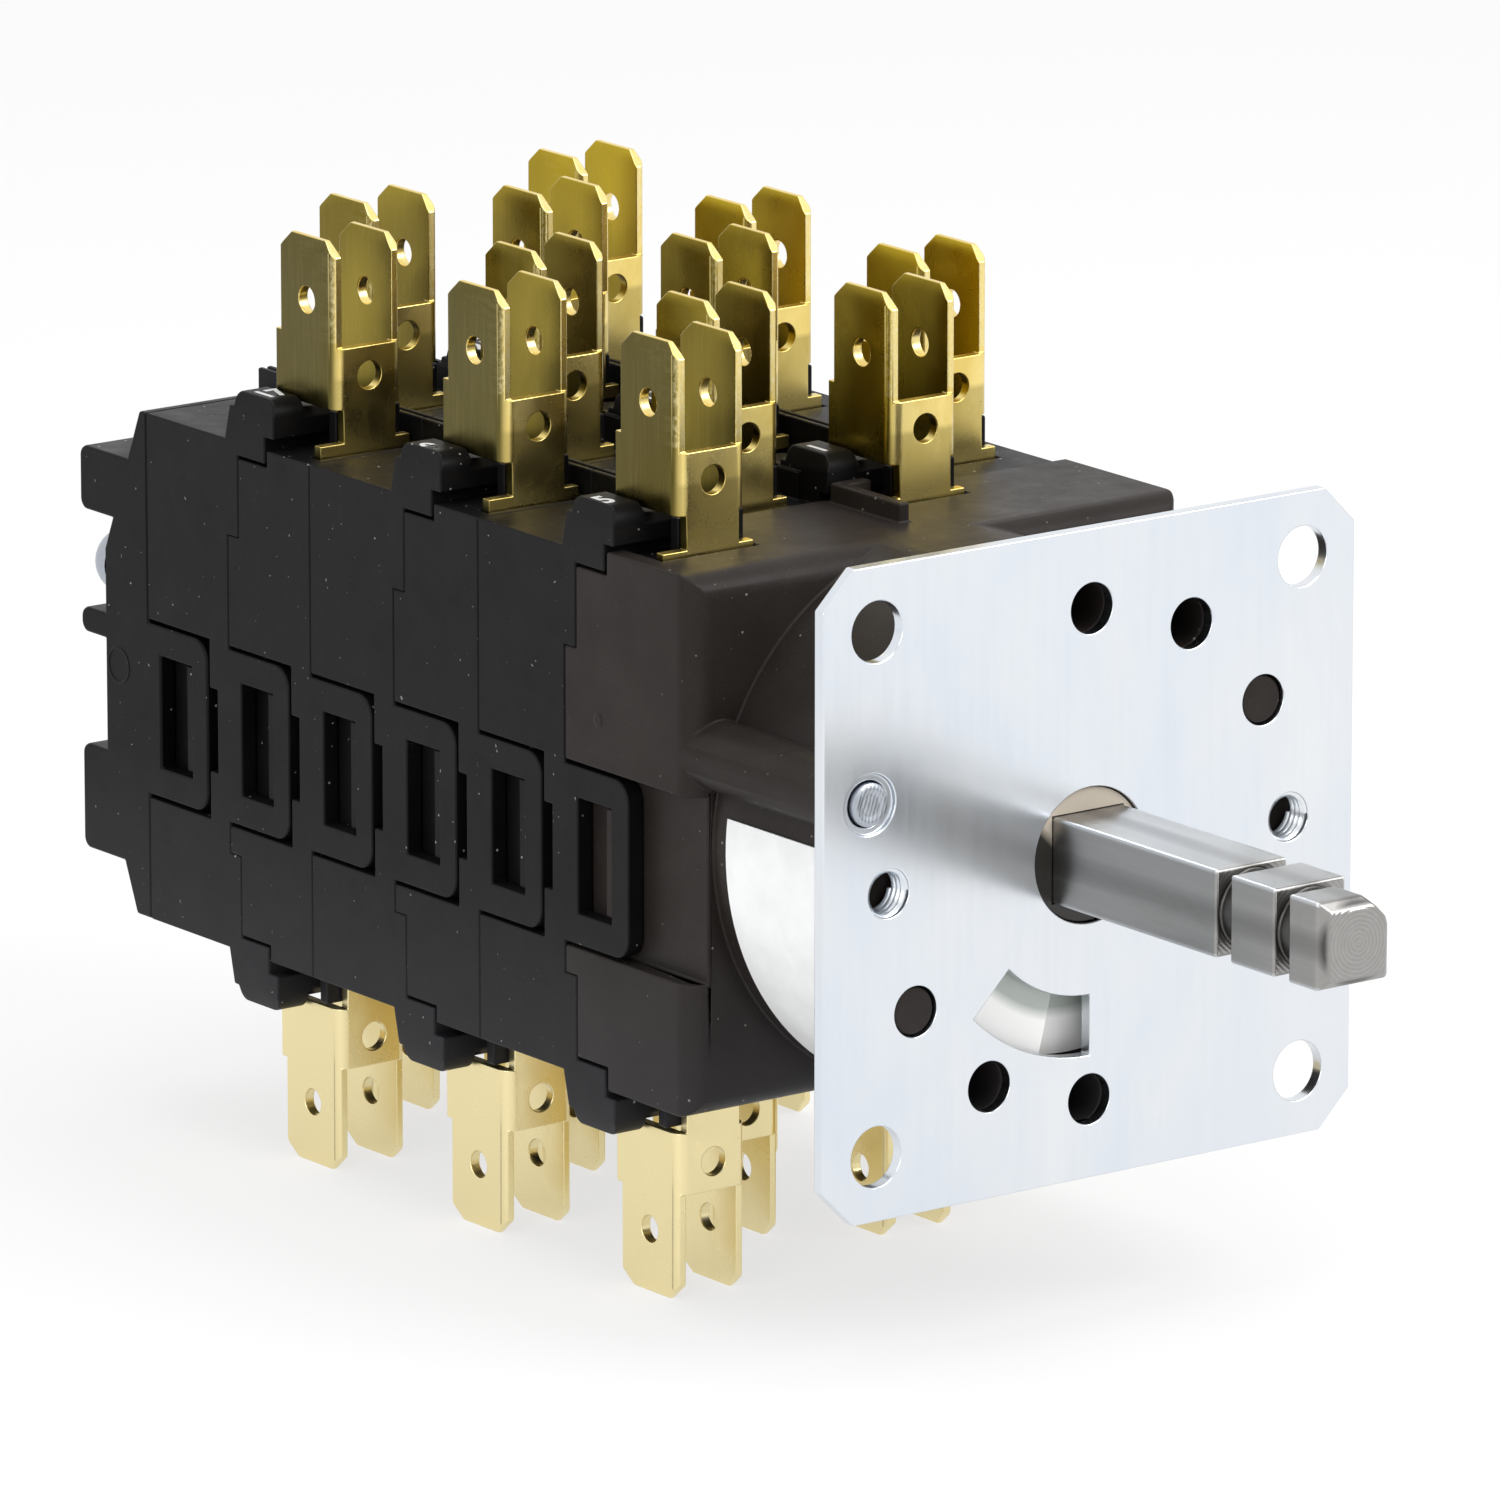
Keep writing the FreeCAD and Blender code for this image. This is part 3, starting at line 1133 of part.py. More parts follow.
def make_terminal(name, column, turn, web_behind_front):
    """A double blade terminal; turn says on which side of the strap the contact plate lies."""
    body = new_body(name)
    half = (s["blade_spacing"] + s["strip"]) / 2
    rear = s["blade_set_back"] + s["blade_width"]
    tip = s["blade_tip"]
    shoulder = tip - s["blade_chamfer"]
    outline = side_view(body, "blades", -half)
    points = [(ZERO, s["web_bottom"]), (ZERO, s["web_top"]), (s["blade_set_back"], s["web_top"])]
    points += [(s["blade_set_back"], shoulder), (s["blade_set_back"] + s["blade_chamfer"], tip)]
    points += [(rear - s["blade_chamfer"], tip), (rear, shoulder), (rear, s["blade_heel_top"])]
    points += [(rear + s["blade_heel"], s["blade_heel_top"]), (rear + s["blade_heel"], s["web_bottom"])]
    draw_polygon(outline, points)
    pad(body, outline, 2 * half)
    bend_height = s["web_top"].value - s["web_bottom"].value
    soften(body, "Fillet", "bends", s["web_bend"],
           lambda box: near(box.YMax, 0.0) and near(box.ZLength, bend_height))
    inside = half - s["strip"]
    channel = front_view(body, "channel", s["strip"])
    draw_box(channel, (-inside, s["web_bottom"] - 1), (inside, tip + 1))
    cut(body, channel, s["blade_width"] + s["blade_heel"] + 1)
    opening = front_view(body, "opening", ZERO)
    draw_box(opening, (-inside, s["web_top"]), (inside, tip + 1))
    draw_circle(opening, (ZERO, s["web_hole_level"]), s["web_hole_diameter"] / 2)
    cut(body, opening, s["strip"] + s["blade_set_back"])
    bevels = front_view(body, "bevels", ZERO)
    start = tip - s["blade_bevel"]
    for edge, inward in ((-half, 1), (-inside, -1), (inside, 1), (half, -1)):
        bevel = edge + inward * s["blade_bevel_depth"]
        draw_polygon(bevels, [(edge, start), (bevel, tip), (bevel, tip + 1), (edge - inward, tip + 1)])
    cut(body, bevels, s["blade_width"] + 1)
    holes = side_view(body, "blade_holes", -half - 1)
    hole_place = (s["blade_set_back"] + s["blade_width"] / 2, tip - s["blade_hole_drop"])
    draw_circle(holes, hole_place, s["blade_hole_diameter"] / 2)
    cut(body, holes, 2 * half + 2)
    strap = front_view(body, "strap", ZERO)
    reach = s["strap_width"] / 2
    foot_left = -reach - s["foot_left"]
    foot_right = reach + s["foot_right"]
    plate_inner = turn * s["contact_plate_start"] - column
    plate_outer = turn * (s["contact_plate_start"] + s["strip"]) - column
    ends = sorted((plate_inner, plate_outer), key=lambda end: end.value)
    points = [(-reach, s["web_bottom"] + 1), (-reach, s["foot_top"]), (foot_left, s["foot_top"])]
    points += [(foot_left, s["foot_bottom"]), (-reach, s["foot_bottom"])]
    if ends[0].value < 0:
        points += [(-reach, s["leg_top"]), (ends[0], s["leg_top"]), (ends[0], s["leg_bottom"])]
        points += [(reach, s["leg_bottom"])]
    else:
        points += [(-reach, s["leg_bottom"]), (ends[1], s["leg_bottom"])]
        points += [(ends[1], s["leg_top"]), (reach, s["leg_top"])]
    points += [(reach, s["foot_bottom"]), (foot_right, s["foot_bottom"]), (foot_right, s["foot_top"])]
    points += [(reach, s["foot_top"]), (reach, s["web_bottom"] + 1)]
    draw_polygon(strap, points)
    pad(body, strap, s["strip"])
    middle = s["contact_centre"] - web_behind_front
    near_edge = middle - s["contact_plate_width"] / 2
    far_edge = middle + s["contact_plate_width"] / 2
    contact = side_view(body, "contact_plate", ends[0])
    bend = s["leg_bottom"] + 2 * s["strip"]
    points = [(ZERO, bend), (far_edge, bend), (far_edge, s["contact_plate_end"])]
    points += [(near_edge, s["contact_plate_end"]), (near_edge, s["leg_bottom"])]
    points += [(ZERO, s["leg_bottom"])]
    draw_polygon(contact, points)
    pad(body, contact, s["strip"])
    pip = side_view(body, "pip", plate_outer)
    draw_circle(pip, (middle, s["pip_level"]), s["pip_diameter"] / 2)
    pad(body, pip, s["fixed_pip_height"], forward=turn > 0)
    return body


def make_terminals():
    """Twenty-four terminals: in each stage one beside the left contact and one beside the right.

    A bottom terminal is the top one of the opposite column, turned about the shaft's axis.
    """
    masters = {}
    for number in range(1, STAGE_COUNT + 1):
        for column, turn, behind in stage_terminals(number % 2 == 0):
            side = "left" if turn < 0 else "right"
            for level in ("top", "bottom"):
                name = "terminal_" + level + "_" + side + "_" + str(number)
                turned = level == "bottom"
                form_turn = -turn if turned else turn
                form_column = -column if turned else column
                form = (round(form_column.value, 3), form_turn, round(behind.value, 3))
                if form in masters:
                    body = copy_of(masters[form], name)
                else:
                    body = make_terminal(name, form_column, form_turn, behind)
                    masters[form] = body
                place(body, across=column, depth=stage_front(number) + behind, turned=turned)


def check_document():
    """Stops if a feature failed, a cut removed nothing, or a sub-part isn't a sound solid."""
    for item in document.Objects:
        if "Invalid" in item.State or "Error" in item.State:
            raise RuntimeError("failed: " + item.Name)
        if item.TypeId == "PartDesign::Pocket":
            if item.Shape.Volume > item.BaseFeature.Shape.Volume - 1e-6:
                raise RuntimeError("cuts nothing: " + item.Name)
    bodies = [item for item in document.Objects if item.TypeId == "PartDesign::Body"]
    for body in bodies:
        if body.Shape.isNull() or not body.Shape.isValid() or len(body.Shape.Solids) != 1:
            raise RuntimeError("not one sound solid: " + body.Label)
    return bodies


def main():
    """Builds every sub-part, checks the document and writes the parts."""
    make_mounting_plate()
    make_drive_shaft()
    make_latch_housing()
    make_stages()
    make_end_cover()
    make_tie_rods()
    make_label_band()
    make_index_wheel()
    make_stop_ring()
    make_index_springs()
    make_cams()
    make_contact_slides()
    make_terminals()
    document.recompute()
    bodies = check_document()
    os.makedirs("parts", exist_ok=True)
    for body in bodies:
        body.Shape.exportStep("parts/" + body.Label + ".step")
    print(len(bodies), "sub-parts written")


main()
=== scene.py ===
"""Looks of the rotary cam switch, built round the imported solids.

Lengths are in metres, or in millimetres where a name or comment says so, in the solids' own
frame: X right and Z up as seen from the front, Y back through the switch, and the origin at
the centre of the front plate's face.
"""
import math

import bmesh
import bpy
from mathutils import Matrix, Vector


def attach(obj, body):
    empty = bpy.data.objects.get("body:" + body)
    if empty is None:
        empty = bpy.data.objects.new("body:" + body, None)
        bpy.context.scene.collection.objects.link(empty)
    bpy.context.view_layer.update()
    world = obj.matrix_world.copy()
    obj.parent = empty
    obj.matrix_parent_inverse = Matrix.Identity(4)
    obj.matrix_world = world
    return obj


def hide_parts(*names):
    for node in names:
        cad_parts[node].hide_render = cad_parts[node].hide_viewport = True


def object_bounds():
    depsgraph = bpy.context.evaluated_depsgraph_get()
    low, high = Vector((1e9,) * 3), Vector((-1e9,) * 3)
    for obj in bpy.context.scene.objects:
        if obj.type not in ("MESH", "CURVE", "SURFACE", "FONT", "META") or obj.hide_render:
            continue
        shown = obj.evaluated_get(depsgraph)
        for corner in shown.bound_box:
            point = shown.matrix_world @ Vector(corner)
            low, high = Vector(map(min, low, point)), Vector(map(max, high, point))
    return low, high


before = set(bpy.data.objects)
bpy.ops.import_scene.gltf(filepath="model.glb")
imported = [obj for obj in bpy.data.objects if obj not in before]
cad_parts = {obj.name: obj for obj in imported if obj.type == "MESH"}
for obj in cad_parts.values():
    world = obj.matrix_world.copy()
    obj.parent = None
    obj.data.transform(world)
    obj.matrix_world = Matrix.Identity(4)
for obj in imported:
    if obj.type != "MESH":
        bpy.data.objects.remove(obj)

CAD_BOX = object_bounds()
MM = 0.001

STAGES = range(1, 7)
SIDES = ("left", "right")
LEVELS = ("top", "bottom")
TERMINALS = ["terminal_%s_%s_%d" % (level, side, stage)
             for level in LEVELS for side in SIDES for stage in STAGES]
DECKS = ["stage_%d" % stage for stage in STAGES if stage > 1]

# Places on the switch, in millimetres.
WINDOW_INNER = 9.7          # inner radius of the plate's sector window
SIDE_FACE = -21.0           # the flat left side of the housing, the stages and the cover
LUG_CROWN = 22.0            # height of the marker lugs' crowns
LUG_START = 25.4            # depth of the first row of marker lugs
LUG_STEP = 20.0             # from one row of marker lugs to the next
LUG_PLACES = ((-20.5, 1.6), (0.3, 5.3))  # a row's numerals: across, and behind its start
COLLARS = (("left", -17.0), ("right", 17.0))
RIVETS = (("left", -18.6, 6.3), ("right", 18.6, -6.3))

# Proportions of the printed numerals.
NUMERAL_SIZE = 2.8
NUMERAL_WEIGHT = 0.08
NUMERAL_HEIGHT = 0.015
NUMERAL_SQUEEZE = 0.78
NUMERAL_TURNED_BACK = 1.9   # a numeral below is turned over, so it starts further back

# How strongly the white room lights the switch, and how much the floor glows to the camera.
ROOM_LIGHT = 0.62
FLOOR_GLOW = 0.72


def add_node(tree, kind, inputs=None, **settings):
    """Adds a node, with its settings and with values or sockets for its inputs."""
    node = tree.nodes.new(kind)
    for key, value in settings.items():
        setattr(node, key, value)
    for key, value in (inputs or {}).items():
        if isinstance(value, bpy.types.NodeSocket):
            tree.links.new(value, node.inputs[key])
        else:
            node.inputs[key].default_value = value
    return node


def seen_rays(tree):
    """1 for what the camera, a reflection or glass sees, and 0 for light on the switch."""
    path = add_node(tree, "ShaderNodeLightPath").outputs
    seen = add_node(tree, "ShaderNodeMath", {0: path["Is Camera Ray"], 1: path["Is Glossy Ray"]})
    both = {0: seen.outputs[0], 1: path["Is Transmission Ray"]}
    return add_node(tree, "ShaderNodeMath", both).outputs[0]


class Surface:
    """One procedural material, built node by node; lengths in its patterns are millimetres."""

    def __init__(self, name, color, roughness, metallic=0.0, **settings):
        self.material = bpy.data.materials.new(name)
        self.material.use_nodes = True
        self.material.diffuse_color = (*color, 1.0)
        self.tree = self.material.node_tree
        self.shader = self.tree.nodes["Principled BSDF"]
        self.place = self.add("ShaderNodeTexCoord").outputs["Object"]
        self.height = None
        settings = {"Base Color": (*color, 1.0), "Roughness": roughness,
                    "Metallic": metallic, **settings}
        for key, value in settings.items():
            self.shader.inputs[key].default_value = value

    def add(self, kind, inputs=None, **settings):
        """Adds a node to this material."""
        return add_node(self.tree, kind, inputs, **settings)

    def stretched(self, per_mm):
        """The place on the object, scaled to so many pattern cells per millimetre on each axis."""
        scale = tuple(1000.0 * cells for cells in per_mm)
        return self.add("ShaderNodeMapping", {"Vector": self.place, "Scale": scale}).outputs[0]

    def noise(self, per_mm, detail=3.0, roughness=0.55, distortion=0.0):
        """Cloudy noise from 0 to 1."""
        inputs = {"Vector": self.stretched(per_mm), "Scale": 1.0, "Detail": detail,
                  "Roughness": roughness, "Distortion": distortion}
        return self.add("ShaderNodeTexNoise", inputs).outputs["Fac"]

    def ramp(self, value, low, high, to_low=0.0, to_high=1.0):
        """Maps a value's range to another and stays inside it."""
        inputs = {"Value": value, "From Min": low, "From Max": high,
                  "To Min": to_low, "To Max": to_high}
        return self.add("ShaderNodeMapRange", inputs).outputs[0]

    def math(self, kind, first, second):
        """One sum of arithmetic on two values."""
        return self.add("ShaderNodeMath", {0: first, 1: second}, operation=kind).outputs[0]

    def magnitude(self, value):
        """A value without its sign."""
        return self.add("ShaderNodeMath", {0: value}, operation="ABSOLUTE").outputs[0]

    def from_axis(self):
        """The distance from the shaft's line, in millimetres."""
        across = self.stretched((1.0, 0.0, 1.0))
        return self.add("ShaderNodeVectorMath", {0: across}, operation="LENGTH").outputs["Value"]

    def mix(self, share, first, second):
        """Mixes two colours."""
        first, second = ((*value, 1.0) if isinstance(value, tuple) else value
                         for value in (first, second))
        # Sockets 6, 7 and 2 are the colours A, B and the result of a colour mix.
        mixed = self.add("ShaderNodeMix", {0: share, 6: first, 7: second}, data_type="RGBA")
        return mixed.outputs[2]

    def specks(self, cells, size, share):
        """Small round specks: a few cells of a pattern have one each."""
        place = self.stretched((cells,) * 3)
        cell = self.add("ShaderNodeTexVoronoi", {"Vector": place, "Scale": 1.0})
        near = self.ramp(cell.outputs["Distance"], size * 0.6, size, 1.0, 0.0)
        red = self.add("ShaderNodeSeparateColor", {0: cell.outputs["Color"]}).outputs[0]
        return self.math("MULTIPLY", near, self.ramp(red, 1.0 - share, 1.01 - share))

    def part(self, axis):
        """One coordinate of the place on the object, in metres."""
        return self.add("ShaderNodeSeparateXYZ", {0: self.place}).outputs[axis]

    def facing(self, axis):
        """How much the surface faces along an axis, either way."""
        normal = self.add("ShaderNodeTexCoord").outputs["Normal"]
        return self.magnitude(self.add("ShaderNodeSeparateXYZ", {0: normal}).outputs[axis])

    def color(self, socket):
        self.tree.links.new(socket, self.shader.inputs["Base Color"])

    def roughness(self, socket):
        self.tree.links.new(socket, self.shader.inputs["Roughness"])

    def bump(self, height, depth_mm, strength=1.0):
        """Adds relief of a real depth over what is there already."""
        inputs = {"Height": height, "Distance": depth_mm * MM, "Strength": strength}
        if self.height is not None:
            inputs["Normal"] = self.height
        self.height = self.add("ShaderNodeBump", inputs).outputs[0]
        self.tree.links.new(self.height, self.shader.inputs["Normal"])


def moulded(name, dark, light, roughness, dust):
    """Moulded black plastic: clouds, scuffs, grain, a lower part paled by a painted reflection of
    the floor, dust and lint.
    """
    surface = Surface(name, dark, roughness, **{"Specular IOR Level": 0.12})
    clouds = surface.ramp(surface.noise((0.12, 0.12, 0.12), 4.0), 0.3, 0.75)
    tone = surface.mix(clouds, dark, light)
    scuffs = surface.ramp(surface.noise((3.2, 0.5, 0.28), 5.0, 0.7, 0.6), 0.66, 0.82)
    scuffed = tuple(2.2 * c + 0.012 for c in light)
    tone = surface.mix(surface.math("MULTIPLY", scuffs, 0.5), tone, scuffed)
    grain = surface.ramp(surface.noise((5.0, 5.0, 5.0), 4.0, 0.7), 0.52, 0.72, 0.0, 0.3)
    grainy = tuple(2.0 * c + 0.022 for c in light)
    tone = surface.mix(surface.math("MULTIPLY", grain, clouds), tone, grainy)
    # Painted reflection of the pale floor: the lower part is mixed towards a paler tone.
    painted_floor_light = surface.ramp(surface.part(2), -0.006, -0.024, 0.0, 0.5)
    tone = surface.mix(painted_floor_light, tone, (0.045, 0.045, 0.05))
    specks = surface.math("MULTIPLY", surface.specks(0.8, 0.085, 0.55), dust)
    tone = surface.mix(specks, tone, (0.42, 0.41, 0.38))
    lint = surface.ramp(surface.noise((2.6, 2.6, 2.6), 1.0), 0.78, 0.81, 0.0, dust)
    tone = surface.mix(lint, tone, (0.3, 0.29, 0.27))
    surface.color(tone)
    worn = surface.ramp(surface.noise((0.35, 0.35, 0.35), 5.0, 0.7), 0.25, 0.8,
                        roughness - 0.07, roughness + 0.1)
    surface.roughness(worn)
    surface.bump(surface.noise((7.0, 7.0, 7.0), 3.0, 0.6), 0.012, 0.5)
    surface.bump(surface.noise((0.3, 0.3, 0.3), 2.0), 0.05, 0.25)
    return surface.material


def stamped_brass(name):
    """Rolled brass sheet with sheared edges: a painted pale reflection of the floor below, a
    painted dark reflection on the side faces above, darker to the left, and painted shade on the
    webs below the strap hole.
    """
    surface = Surface(name, (0.55, 0.44, 0.17), 0.3, 1.0)
    patches = surface.ramp(surface.noise((0.22, 0.22, 0.16), 5.0, 0.62, 0.5), 0.35, 0.72)
    upper = surface.ramp(surface.part(2), -0.02, 0.02)
    bright = surface.mix(patches, (0.9, 0.72, 0.27), (0.78, 0.58, 0.15))
    # Painted reflection of the floor: the lower part turns a pale cream brass.
    bright = surface.mix(upper, (0.87, 0.75, 0.42), bright)
    across = surface.part(0)
    # Painted dark reflection for the side faces above: darker to the left, lighter olive to the
    # right, with darker noise patches.
    darker_tone = surface.mix(surface.ramp(across, -0.018, -0.012), (0.12, 0.1, 0.03), (0.33, 0.25, 0.03))
    darker_tone = surface.mix(surface.ramp(across, -0.004, 0.011), darker_tone, (0.52, 0.37, 0.02))
    deep = surface.ramp(surface.noise((0.07, 0.05, 0.05), 2.0), 0.42, 0.6, 0.0, 0.6)
    darker_tone = surface.mix(deep, darker_tone, (0.1, 0.075, 0.01))
    # Painted shade: side faces in the upper part take the dark reflected tone.
    side_faces = surface.ramp(surface.facing(0), 0.55, 0.95)
    tone = surface.mix(surface.math("MULTIPLY", side_faces, upper), bright, darker_tone)
    lines = surface.noise((4.2, 4.2, 0.14), 4.0, 0.65)
    tone = surface.mix(surface.ramp(lines, 0.5, 0.75, 0.0, 0.05), tone, (0.84, 0.7, 0.3))
    level = surface.magnitude(surface.part(2))
    sheared = surface.math("MULTIPLY", surface.facing(1), surface.ramp(level, 0.0262, 0.0264))
    stripes = surface.noise((9.0, 0.5, 2.6), 3.0, 0.7)
    striped = surface.math("MULTIPLY", sheared, surface.ramp(stripes, 0.4, 0.65))
    tone = surface.mix(striped, tone, (0.88, 0.77, 0.42))
    # Painted shade on the faces towards the front and back below the strap hole, in the upper
    # part.
    below_hole = surface.ramp(level, 0.0239, 0.0235, 0.0, 0.45)
    shaded_web = surface.math("MULTIPLY", surface.facing(1), below_hole)
    tone = surface.mix(surface.math("MULTIPLY", shaded_web, upper), tone, (0.2, 0.15, 0.03))
    surface.color(tone)
    surface.roughness(surface.ramp(patches, 0.0, 1.0, 0.24, 0.38))
    surface.bump(lines, 0.003, 0.4)
    surface.bump(surface.noise((3.5, 3.5, 3.5), 3.0, 0.6), 0.006, 0.4)
    return surface.material


def zinc_plate(name):
    """Zinc-plated sheet: bluish, with streaks down the sheet, spots and handling marks."""
    surface = Surface(name, (0.7, 0.74, 0.79), 0.3, 1.0)
    patches = surface.ramp(surface.noise((0.09, 0.09, 0.05), 5.0, 0.6, 0.4), 0.3, 0.72)
    tone = surface.mix(patches, (0.7, 0.75, 0.82), (0.79, 0.81, 0.83))
    streaks = surface.noise((1.3, 1.3, 0.06), 5.0, 0.65)
    tone = surface.mix(surface.ramp(streaks, 0.42, 0.72, 0.0, 0.08), tone, (0.58, 0.64, 0.73))
    marks = surface.ramp(surface.noise((0.7, 0.7, 0.55), 6.0, 0.8, 1.6), 0.68, 0.76, 0.0, 0.35)
    tone = surface.mix(marks, tone, (0.5, 0.53, 0.57))
    surface.color(tone)
    surface.roughness(surface.ramp(streaks, 0.3, 0.75, 0.21, 0.26))
    surface.bump(streaks, 0.0015, 0.4)
    surface.bump(surface.noise((4.0, 4.0, 4.0), 4.0, 0.7), 0.004, 0.4)
    return surface.material


def drawn_steel(name, tint, across, along, stains, is_shaft=False):
    """Grey drawn steel with lines along it, stains and turned rings on its end.

    The shaft also has painted shade in the cores of its grooves and painted highlights along its
    long edges.
    """
    surface = Surface(name, tint, 0.34, 1.0)
    lines = surface.noise((across, along, across), 5.0, 0.7)
    darker_tone = tuple(c * 0.95 for c in tint)
    bright = tuple(min(c * 1.04, 0.9) for c in tint)
    tone = surface.mix(surface.ramp(lines, 0.35, 0.7), darker_tone, bright)
    spots = surface.ramp(surface.noise((0.35, 0.2, 0.35), 5.0, 0.7, 0.7), 0.56, 0.75, 0.0, stains)
    tone = surface.mix(spots, tone, (0.26, 0.25, 0.21))
    waves = {"Vector": surface.stretched((1.0, 0.0, 1.0)), "Scale": 1.05,
             "Distortion": 2.2, "Detail": 3.0, "Detail Scale": 1.5}
    rings = surface.add("ShaderNodeTexWave", waves, wave_type="RINGS", rings_direction="SPHERICAL")
    end_face = surface.ramp(surface.facing(1), 0.85, 0.95)
    turning = surface.math("MULTIPLY", rings.outputs["Fac"], end_face)
    ringed = tuple(min(c * 2.0, 0.9) for c in tint)
    tone = surface.mix(surface.math("MULTIPLY", turning, 0.16), tone, ringed)
    if is_shaft:
        # Painted shade in the recessed cores of the grooves, behind the end.
        painted_groove_shade = surface.ramp(surface.from_axis(), 2.7, 3.2, 0.8, 0.0)
        behind = surface.ramp(surface.part(1), -0.0283, -0.0281)
        # Painted highlight along the shaft's long rounded edges.
        sides = [surface.magnitude(surface.part(axis)) for axis in (0, 2)]
        painted_edge_highlight = surface.ramp(surface.math("MINIMUM", *sides), 0.00268, 0.0029, 0.0, 0.75)
        tone = surface.mix(painted_edge_highlight, tone, (0.66, 0.68, 0.7))
        tone = surface.mix(surface.math("MULTIPLY", painted_groove_shade, behind), tone, (0.03, 0.028, 0.026))
    surface.color(tone)
    surface.roughness(surface.ramp(lines, 0.3, 0.75, 0.3, 0.38))
    surface.bump(lines, 0.0015, 0.4)
    surface.bump(turning, 0.03, 0.6)
    return surface.material


def plain_plastic(name, color, roughness, scatter):
    """Natural white plastic or film, a little cloudy and softly lit from within."""
    surface = Surface(name, color, roughness,
                      **{"Subsurface Weight": scatter, "Subsurface Scale": 0.001})
    clouds = surface.ramp(surface.noise((0.4, 0.4, 0.4), 4.0), 0.3, 0.75)
    surface.color(surface.mix(clouds, color, tuple(c * 0.9 for c in color)))
    surface.bump(surface.noise((3.0, 3.0, 3.0), 3.0, 0.6), 0.01, 0.3)
    return surface.material


def wheel_plastic(name):
    """White plastic behind the plate: a beige hub with painted shadow at its lower left, and a
    painted shadow of the plate at the window's inner edge.
    """
    white = (0.93, 0.93, 0.91)
    surface = Surface(name, white, 0.35)
    around = surface.from_axis()
    # Painted shadow of the plate's window edge: a grey-green band at the window's inner radius.
    beyond_painted_shadow = surface.ramp(around, WINDOW_INNER + 1.2, WINDOW_INNER + 2.0)
    tone = surface.mix(beyond_painted_shadow, (0.42, 0.46, 0.43), white)
    hub = surface.ramp(around, 4.8, 5.0, 1.0, 0.0)
    tone = surface.mix(hub, tone, (0.5, 0.44, 0.36))
    # Painted shadow in the recessed hub, at its lower left.
    lean = surface.math("ADD", surface.part(0), surface.part(2))
    shade = surface.math("MULTIPLY", hub, surface.ramp(lean, -0.0012, -0.0022))
    tone = surface.mix(shade, tone, (0.02, 0.017, 0.014))
    surface.color(tone)
    surface.bump(surface.noise((3.0, 3.0, 3.0), 3.0, 0.6), 0.01, 0.3)
    return surface.material


HOUSING = moulded("housing_brown", (0.017, 0.0135, 0.012), (0.026, 0.0215, 0.0195), 0.4, 0.5)
DECK = moulded("deck_black", (0.003, 0.003, 0.0033), (0.0065, 0.006, 0.0068), 0.42, 0.8)
COVER = moulded("cover_black", (0.0015, 0.0014, 0.0015), (0.0035, 0.0032, 0.0035), 0.38, 0.8)
BRASS = stamped_brass("terminal_brass")
ZINC = zinc_plate("plate_zinc")
SHAFT = drawn_steel("shaft_steel", (0.325, 0.32, 0.31), 2.4, 0.06, 0.4, True)
ROD = drawn_steel("rod_steel", (0.42, 0.45, 0.5), 1.2, 0.4, 0.3)
SPRING = drawn_steel("spring_steel", (0.4, 0.4, 0.4), 2.0, 2.0, 0.2)
NYLON = plain_plastic("nylon_white", (0.88, 0.875, 0.85), 0.4, 0.15)
WHEEL = wheel_plastic("wheel_nylon")
FILM = plain_plastic("label_white", (0.93, 0.94, 0.94), 0.36, 0.0)
INK = plain_plastic("numeral_white", (0.8, 0.8, 0.8), 0.5, 0.0)


def mark_end(model):
    """Cuts the marking flat of the shaft's end as wide as the photograph shows it."""
    last = [face for face in model.faces
            if max(corner.co.y for corner in face.verts) < -0.0247]
    inner = {edge for face in last for edge in face.edges}
    corners = {corner for face in last for corner in face.verts}
    bmesh.ops.bisect_plane(model, geom=[*corners, *inner, *last], plane_co=(0.0038, 0.0, 0.0),
                           plane_no=(1.0, 0.0, 1.0), clear_outer=True)
    bmesh.ops.holes_fill(model, edges=[edge for edge in model.edges if edge.is_boundary])


def softened(node, material, width_mm, segments=2, body="housing", merge_mm=0.0):
    """A copy of a node with its sharp edges rounded, which stands for the node."""
    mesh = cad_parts[node].data.copy()
    mesh.name = node + "_form"
    model = bmesh.new()
    model.from_mesh(mesh)
    bmesh.ops.remove_doubles(model, verts=model.verts, dist=1e-7)
    if merge_mm:
        bmesh.ops.dissolve_degenerate(model, dist=merge_mm * MM, edges=model.edges)
    if node == "drive_shaft":
        mark_end(model)
    model.to_mesh(mesh)
    model.free()
    for name in ("custom_normal", "sharp_edge", "sharp_face"):
        if name in mesh.attributes:
            mesh.attributes.remove(mesh.attributes[name])
    mesh.materials.clear()
    mesh.materials.append(material)
    mesh.shade_smooth()
    piece = bpy.data.objects.new(node + "_form", mesh)
    bpy.context.scene.collection.objects.link(piece)
    edges = piece.modifiers.new("edges", "BEVEL")
    edges.width = width_mm * MM
    edges.segments = segments
    edges.limit_method = "ANGLE"
    edges.angle_limit = math.radians(32)
    edges.harden_normals = True
    edges.use_clamp_overlap = False
    edges.loop_slide = False
    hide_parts(node)
    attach(piece, body)


softened("mounting_plate", ZINC, 0.12)
softened("drive_shaft", SHAFT, 0.2, 3, "rotor")
softened("latch_housing", HOUSING, 0.2)
softened("end_cover", COVER, 0.2)
for deck in DECKS:
    softened(deck, DECK, 0.14)
for terminal in TERMINALS:
    softened(terminal, BRASS, 0.09, merge_mm=0.06)

